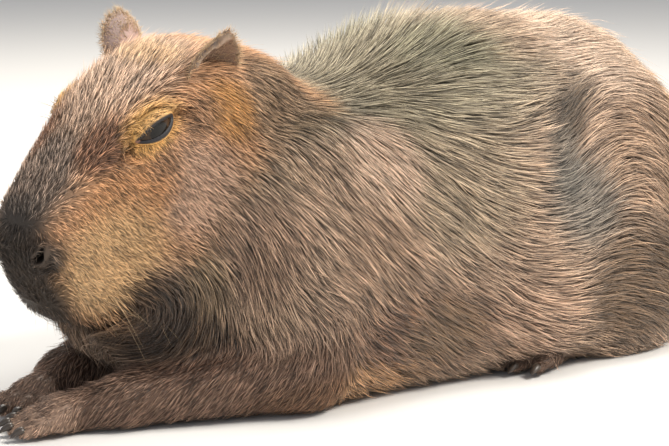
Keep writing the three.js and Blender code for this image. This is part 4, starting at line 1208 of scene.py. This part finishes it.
# A closed form of rings of points with a point at each end.
def closedTube(rings, start, end):
    sideCount, count = len(rings[0]), len(rings)
    shape = np.concatenate([[start], *rings, [end]])
    here = np.arange(sideCount)
    after, last = (here + 1) % sideCount, 1 + (count - 1) * sideCount
    faces = np.concatenate([
        np.column_stack([np.zeros(sideCount, int), 1 + after, 1 + here]),
        bandFaces([(1 + k * sideCount, 1 + (k + 1) * sideCount) for k in range(count - 1)], sideCount),
        np.column_stack([last + here, last + after, np.full(sideCount, len(shape) - 1)]),
    ])
    return shape, outwardFaces(shape, faces)


# Eyes: a wet ball under each pair of lids.
def eyeMaterial():
    material, tree, shader = newMaterial("eyeball", roughness=0.2, coat=0.3, coatRoughness=0.02,
                                         specular=0.12)
    gaze = addNode(tree, "ShaderNodeAttribute", attribute_name="fromGaze").outputs["Fac"]
    streaks = addTexture(tree, "ShaderNodeTexNoise", Scale=900.0, Detail=3.0).outputs["Fac"]
    colour = addRamp(tree, addMath(tree, "MULTIPLY_ADD", streaks, 0.12, gaze), [
        (0.0, (0.004, 0.0035, 0.003)), (0.36, (0.006, 0.005, 0.004)), (0.44, (0.045, 0.024, 0.012)),
        (0.72, (0.03, 0.017, 0.01)), (0.84, (0.012, 0.011, 0.011)), (1.0, (0.05, 0.045, 0.042)),
    ])
    tree.links.new(colour, shader.inputs["Base Color"])
    return material


ballMaterial = eyeMaterial()
for side in sides:
    along, up, out = eyeSides[side]["axes"]
    turns = np.linspace(0, 2 * math.pi, 56, endpoint=False)[:, None]
    tilts = np.linspace(0, math.pi, 34)[1:-1]
    radius = eye["radius"]
    rings = [radius * (math.sin(t) * (np.cos(turns) * along + np.sin(turns) * up) + math.cos(t) * out)
             for t in tilts]
    # behind the lids the ball is slimmer, so that it stays under the skin
    slim = [1 - 0.34 * smoothStep((t * (1 - 0.5 * np.abs(np.cos(turns))) - 0.4) / 0.4) for t in tilts]
    rings = [ring * share for ring, share in zip(rings, slim)]
    middle = eyeSides[side]["middle"]
    shape, faces = closedTube([middle + ring for ring in rings], middle + radius * out,
                              middle - 0.66 * radius * out)
    ball = addMesh(f"eyeball_{side}", shape, faces, ballMaterial)
    addValue(ball, "fromGaze", np.arccos(np.clip((shape - middle) @ out / radius, -1, 1)) / 1.1)
    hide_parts(f"eye_{side}")

# Lids: a rim round each almond opening. Rows: millimetres out from the opening, height over the ball, and
# share of fur.
lids = {
    "around": 88,
    "section": [(-1.6, 0.1, 0), (-1.2, 0.8, 0), (-0.5, 1.3, 0), (0.5, 1.9, 0), (1.4, 2.2, 0), (2.2, 2.2, 0.3),
                (3.0, 2.1, 0.7), (4.2, 1.9, 0.95), (6.0, 0.9, 1), (9.0, -1.2, 1), (6.0, -3.0, 1), (1.0, -2.5, 0)],
    "rim": paint(36, 34, 37),
    "corner": paint(150, 110, 92),
}


lidPelt = skinMaterial("lidSkin", 0.9, 0.3, 500.0, (900.0, 0.8, 0.45, 0.0006), specular=0.5)
for side in sides:
    along, up, out = eyeSides[side]["axes"]
    t = np.linspace(0, 2 * math.pi, lids["around"], endpoint=False)
    c, s = np.cos(t), np.sin(t)
    rings, tints = [], []
    for offset, height, fur in lids["section"]:
        more = offset / eye["radius"]
        a = (eye["halfLength"] + more) * c
        narrow = 1 - eye["narrowing"] * math.exp(-max(offset, 0) / 9) * c * c
        b = (lidHeight(c, s > 0) + more) * narrow * s
        crease = 0.5 * np.sin(t * 3 + 1) * smoothStep(offset / 5) * np.exp(-offset / 12)
        reach = (eye["radius"] + height + crease)[:, None]
        level = np.sin(a)[:, None] * along + np.cos(a)[:, None] * out
        ring = eyeSides[side]["middle"] + reach * (np.cos(b)[:, None] * level + np.sin(b)[:, None] * up)
        rings.append(ring)
        tint = lids["rim"] + (coatTint(ring) - lids["rim"]) * fur
        inner = (smoothStep((c - 0.93) / 0.06) * (1 - fur))[:, None]
        tints.append(tint + (lids["corner"] - tint) * inner * 0.7)
    shape, count = np.concatenate(rings), lids["around"]
    starts = np.arange(len(rings)) * count
    faces = bandFaces(list(zip(np.roll(starts, -1), starts)), count)
    lid = addMesh(f"lids_{side}", shape, outwardFaces(shape, faces), lidPelt)
    addColour(lid, "tint", np.concatenate(tints))
    addValue(lid, "along", np.ones(len(shape)))
report("eyes and lids")

# Ears: cups whose outline is a radius for each angle, straight in front and pointed at the top rear.
ear = {
    "base": {"left": (24.0, 63.0, 67.0), "right": (19.0, 61.0, 71.0)},
    "rise": (-0.45, 0.34, 0.82),
    "facing": (0.22, 0.94, -0.1),
    "width": 30.0, "height": 33.0, "centre": 17.0, "depth": 15.0, "wall": 3.0, "bulge": 3.0,
    "outline": {
        "left": profile([(-90, 0.9), (-30, 1.06), (0, 0.95), (40, 0.88), (75, 0.96), (96, 1.1), (120, 0.92),
                         (150, 0.88), (180, 0.92), (225, 0.92), (270, 0.95)]),
        "right": profile([(-90, 0.9), (-30, 1.04), (0, 0.98), (40, 0.96), (80, 0.94), (108, 0.94), (140, 0.96),
                          (180, 0.92), (225, 0.92), (270, 0.9)]),
    },
    "around": 96,
    "levels": 15,
    "inside": paint(142, 112, 92),
    # the fold: thinly haired skin, darkened further with painted shade
    "bare": paint(104, 92, 90),
    # a pale rim and crest: painted highlight where the ear's edge catches light
    "edge": paint(216, 190, 166),
    "outside": paint(168, 140, 130),
    "hair": paint(206, 172, 134),
}


earPelt = skinMaterial("earSkin", 0.8, 0.35, 320.0, (700.0, 0.6, 0.5, 0.0007), specular=0.4, subsurface=0.12,
                       subsurfaceRadius=(0.004, 0.0018, 0.001))
earHairMaterial = furMaterial("earHair", 0.75, 0.25, 0.2)


# Places on one ear by angle and share of the radius, on its inner face or its back.
def earPlace(axes, turn, r, isInner):
    centre, fore, rise, face, side = axes
    degrees = (np.degrees(turn) + 90) % 360 - 90
    reach = ear["outline"][side](degrees)[0]
    c, s = np.cos(turn) * reach, np.sin(turn) * reach
    fold = smoothStep((r - 0.38) / 0.16) * smoothStep((78 - np.abs(degrees - 36)) / 22)
    crest = 4 * fold * (1 - fold)
    wall = 0 if isInner else ear["wall"] * (1 - 0.72 * r ** 3)
    across = ear["width"] * r * c * np.where(s > 0, 1, 1 - 0.25 * s * s) - 4 * r * np.maximum(s, 0)
    across = across - 2.4 * fold * smoothStep((r - 0.8) / 0.2)
    deep = ear["depth"] * (r * r - 1) - wall + ear["bulge"] * r * c
    deep = deep + (3.2 * crest - 6.0 * fold * r if isInner else -5.0 * fold * r)
    upward = ear["height"] * r * s
    return centre + across[:, None] * fore + upward[:, None] * rise + deep[:, None] * face, fold, crest


for side, sign in sides.items():
    rise, opening = headDirection(ear["rise"], sign), headDirection(ear["facing"], sign)
    fore = unit(np.cross(rise, opening))
    fore = fore * np.sign(fore @ headDirection((1, 0, 0)))
    face = unit(np.cross(fore, rise))
    face = face * np.sign(face @ opening)
    axes = (headPoint(ear["base"][side], sign) + rise * ear["centre"], fore, rise, face, side)
    turns = np.linspace(0, 2 * math.pi, ear["around"], endpoint=False)
    radii = np.linspace(0, 1, ear["levels"] + 1)[1:] ** 0.85
    rings, tints = [], []
    zero = np.zeros(1)
    start, end = earPlace(axes, zero, zero, True)[0][0], earPlace(axes, zero, zero, False)[0][0]
    for isInner in (True, False):
        for r in radii if isInner else radii[::-1]:
            ring, fold, crest = earPlace(axes, turns, np.full(len(turns), r), isInner)
            rings.append(ring)
            ground = ear["inside"] * (0.45 + 0.55 * r) if isInner else ear["outside"]
            # the fold darkens towards that grey: partly bare skin, partly painted shade
            tint = ground + (ear["bare"] - ground) * (fold * (0.95 if isInner else 0.5))[:, None]
            # the crest and the rim take the painted highlight
            tint = tint + (ear["edge"] - tint) * (0.8 * crest * isInner)[:, None]
            tints.append(tint + (ear["edge"] - tint) * 0.7 * float(smoothStep((r - 0.93) / 0.07)))
    shape, faces = closedTube(rings, start, end)
    cup = addMesh(f"ear_cup_{side}", shape, faces, earPelt)
    addColour(cup, "tint", np.concatenate([tints[0][:1], *tints, tints[-1][:1]]))
    addValue(cup, "along", np.ones(len(shape)))
    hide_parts(f"ear_{side}")
    # hair on the ear, along the edge, over the back and thin inside: count, radii, inner face, length
    groups = [(620, 0.9, 1.0, True, 8.0), (680, 0.84, 1.0, False, 8.0), (900, 0.2, 0.9, False, 7.0),
              (620, 0.15, 0.92, True, 8.0)]
    allShapes, allTints, allSpots = [], [], []
    for count, least, most, isInner, longest in groups:
        turn = draw.uniform(0, 2 * math.pi, count)
        r = np.sqrt(draw.uniform(least ** 2, most ** 2, count))
        root, fold, crest = earPlace(axes, turn, r, isInner)
        further = earPlace(axes, turn + draw.normal(0, 0.12, count), r + 0.08, isInner)[0]
        length = longest * draw.uniform(0.6, 1.2, count) * (1 - 0.6 * fold * (r < 0.9))
        away = face * (1 if isInner else -1)
        way = unit(unit(further - root) + 0.4 * draw.normal(size=(count, 3)) + away * 0.2 + rise * 0.5)
        ups = [np.tile(away, (count, 1))] * 3
        path = [root - way * 0.4, root + way * (length * 0.5)[:, None],
                root + way * length[:, None] + rise * (length * 0.1)[:, None]]
        allShapes.append(tuftVertices(path, ups, draw.uniform(0.28, 0.45, count), 2))
        shade = np.exp(0.25 * draw.normal(size=count))[:, None]
        allTints.append(np.clip(ear["hair"] * shade, 0, 0.85))
        left, low, wide, high = atlas["ears"]
        band = (0.0 if isInner else 0.5) + (0.25 if sign > 0 else 0.0)
        allSpots.append(np.column_stack([left + wide * turn / (2 * math.pi), low + high * (band + 0.24 * r)]))
    addTufts(f"earHair_{side}", np.concatenate(allShapes), np.concatenate(allTints), np.concatenate(allSpots),
             {"rings": 2, "pieces": 1, "slot": "face_fur", "material": earHairMaterial})

# Claws: bent cones at the toes' tips, each in its CAD claw's place.
claw = {
    "length": 14.0, "width": 4.8, "height": 4.0, "rise": 3.0, "droop": 2.5, "around": 20,
    "sections": [(0.0, 0.75, 3.0), (0.12, 0.95, 3.1), (0.3, 1.0, 3.0), (0.5, 0.88, 2.2), (0.7, 0.7, 1.0),
                 (0.86, 0.48, -0.6), (0.95, 0.28, -1.7)],
}


def clawMaterial():
    material, tree, shader = newMaterial("clawHorn", coat=0.3, coatRoughness=0.3, specular=0.5)
    grain = addTexture(tree, "ShaderNodeTexNoise", Scale=420.0, Detail=4.0).outputs["Fac"]
    colour = addRamp(tree, grain, [(0.0, (0.018, 0.013, 0.01)), (1.0, (0.085, 0.062, 0.045))])
    tree.links.new(colour, shader.inputs["Base Color"])
    rough = addNode(tree, "ShaderNodeMapRange", {"Value": grain, "To Min": 0.3, "To Max": 0.6})
    tree.links.new(rough.outputs[0], shader.inputs["Roughness"])
    return material


clawHorn = clawMaterial()
toes = [(f"foreclaw_{side}", paws[side][1], 1) for side in sides]
toes += [(f"hindclaw_{side}", hindPaw[1], sign) for side, sign in sides.items()]
for stem, digits, sign in toes:
    for n, digit in enumerate(digits):
        mirror = np.array([1, sign, 1])
        knuckle, tip = np.array(digit["knuckle"][:3]) * mirror, np.array(digit["tip"][:3]) * mirror
        ahead = unit((tip - knuckle) * np.array([1, 1, 0]))
        beside, up = np.array([-ahead[1], ahead[0], 0]), np.array([0, 0, 1.0])
        turns = np.linspace(0, 2 * math.pi, claw["around"], endpoint=False)[:, None]
        rings = [tip + ahead * (share * claw["length"]) + beside * np.cos(turns) * claw["width"] * girth
                 + up * (rise + np.sin(turns) * claw["height"] * girth * np.where(np.sin(turns) < 0, 0.8, 1))
                 for share, girth, rise in claw["sections"]]
        shape, faces = closedTube(rings, tip + up * claw["rise"],
                                  tip + ahead * claw["length"] - up * claw["droop"])
        shape[:, 2] = np.maximum(shape[:, 2], skin["floorGap"])
        horn = addMesh(f"claw_{stem}_{n + 1}", shape, faces, clawHorn)
        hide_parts(f"{stem}_{n + 1}")
report("ears and claws")

# Whiskers: long tapered hairs that bend back and down from the muzzle, the brow and the lower cheek.
whisker = {
    # root in u, v, w; spread; heading; how many; length
    "groups": [
        ((236, 44, 14), (16, 3, 14), (0.1, 1.0, -0.15), 15, 44),
        ((228, 46, -24), (16, 3, 14), (-0.1, 0.75, -0.7), 13, 40),
        ((206, 52, -52), (16, 3, 8), (-0.1, 0.45, -0.9), 9, 42),
        ((214, 44, 52), (14, 3, 8), (0.15, 0.9, 0.45), 6, 60),
        ((126, 48, 98), (8, 4, 3), (0.1, 0.6, 0.8), 4, 44),
    ],
    "radius": 0.19,
    "pale": paint(186, 160, 124),
    "dark": paint(52, 42, 36),
}


def addWhiskers():
    shapes, faces, tints, start = [], [], [], 0
    for place, spread, heading, count, longest in whisker["groups"]:
        for sign in [sign for sign in sides.values() for _ in range(count)]:
            root = headPoint(np.array(place) + np.array(spread) * draw.uniform(-1, 1, 3), sign)[None]
            for _ in range(4):
                d, normal = withSlope(skinField, root)
                root = root - normal * d[:, None]
            way = headDirection(heading, sign) + draw.normal(0, 0.3, 3)
            way = unit(unit(way) + 0.5 * normal[0])
            length = longest * draw.uniform(0.55, 1.25)
            sag = np.array([0.1, 0, -0.35]) * draw.uniform(0.4, 1.4)
            steps = np.linspace(0, 1, 8)[:, None]
            line = root + way * steps * length + sag * steps ** 2 * length - normal * 1.2
            side = unit(np.cross(way, np.array([0, 0, 1.0]) + 0.01))
            lift = unit(np.cross(side, way))
            turn = np.linspace(0, 2 * math.pi, 5, endpoint=False)[:, None]
            rim = whisker["radius"] * (np.cos(turn) * side + np.sin(turn) * lift)
            rings = [line[k] + (1 - 0.85 * k / 7) * rim for k in range(7)]
            shape, face = closedTube(rings, line[0] - way * 0.2, line[7])
            shapes.append(shape)
            faces.append(face + start)
            start += len(shape)
            shade = whisker["pale"] if draw.random() < 0.5 else whisker["dark"]
            tints.append(np.tile(shade, (len(shape), 1)))
    thing = addMesh("whiskers", np.concatenate(shapes), np.concatenate(faces), shortFur)
    addColour(thing, "tint", np.concatenate(tints))
    addValue(thing, "along", np.ones(start))


addWhiskers()
report("whiskers")


# size and finish
low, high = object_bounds()
report("done")
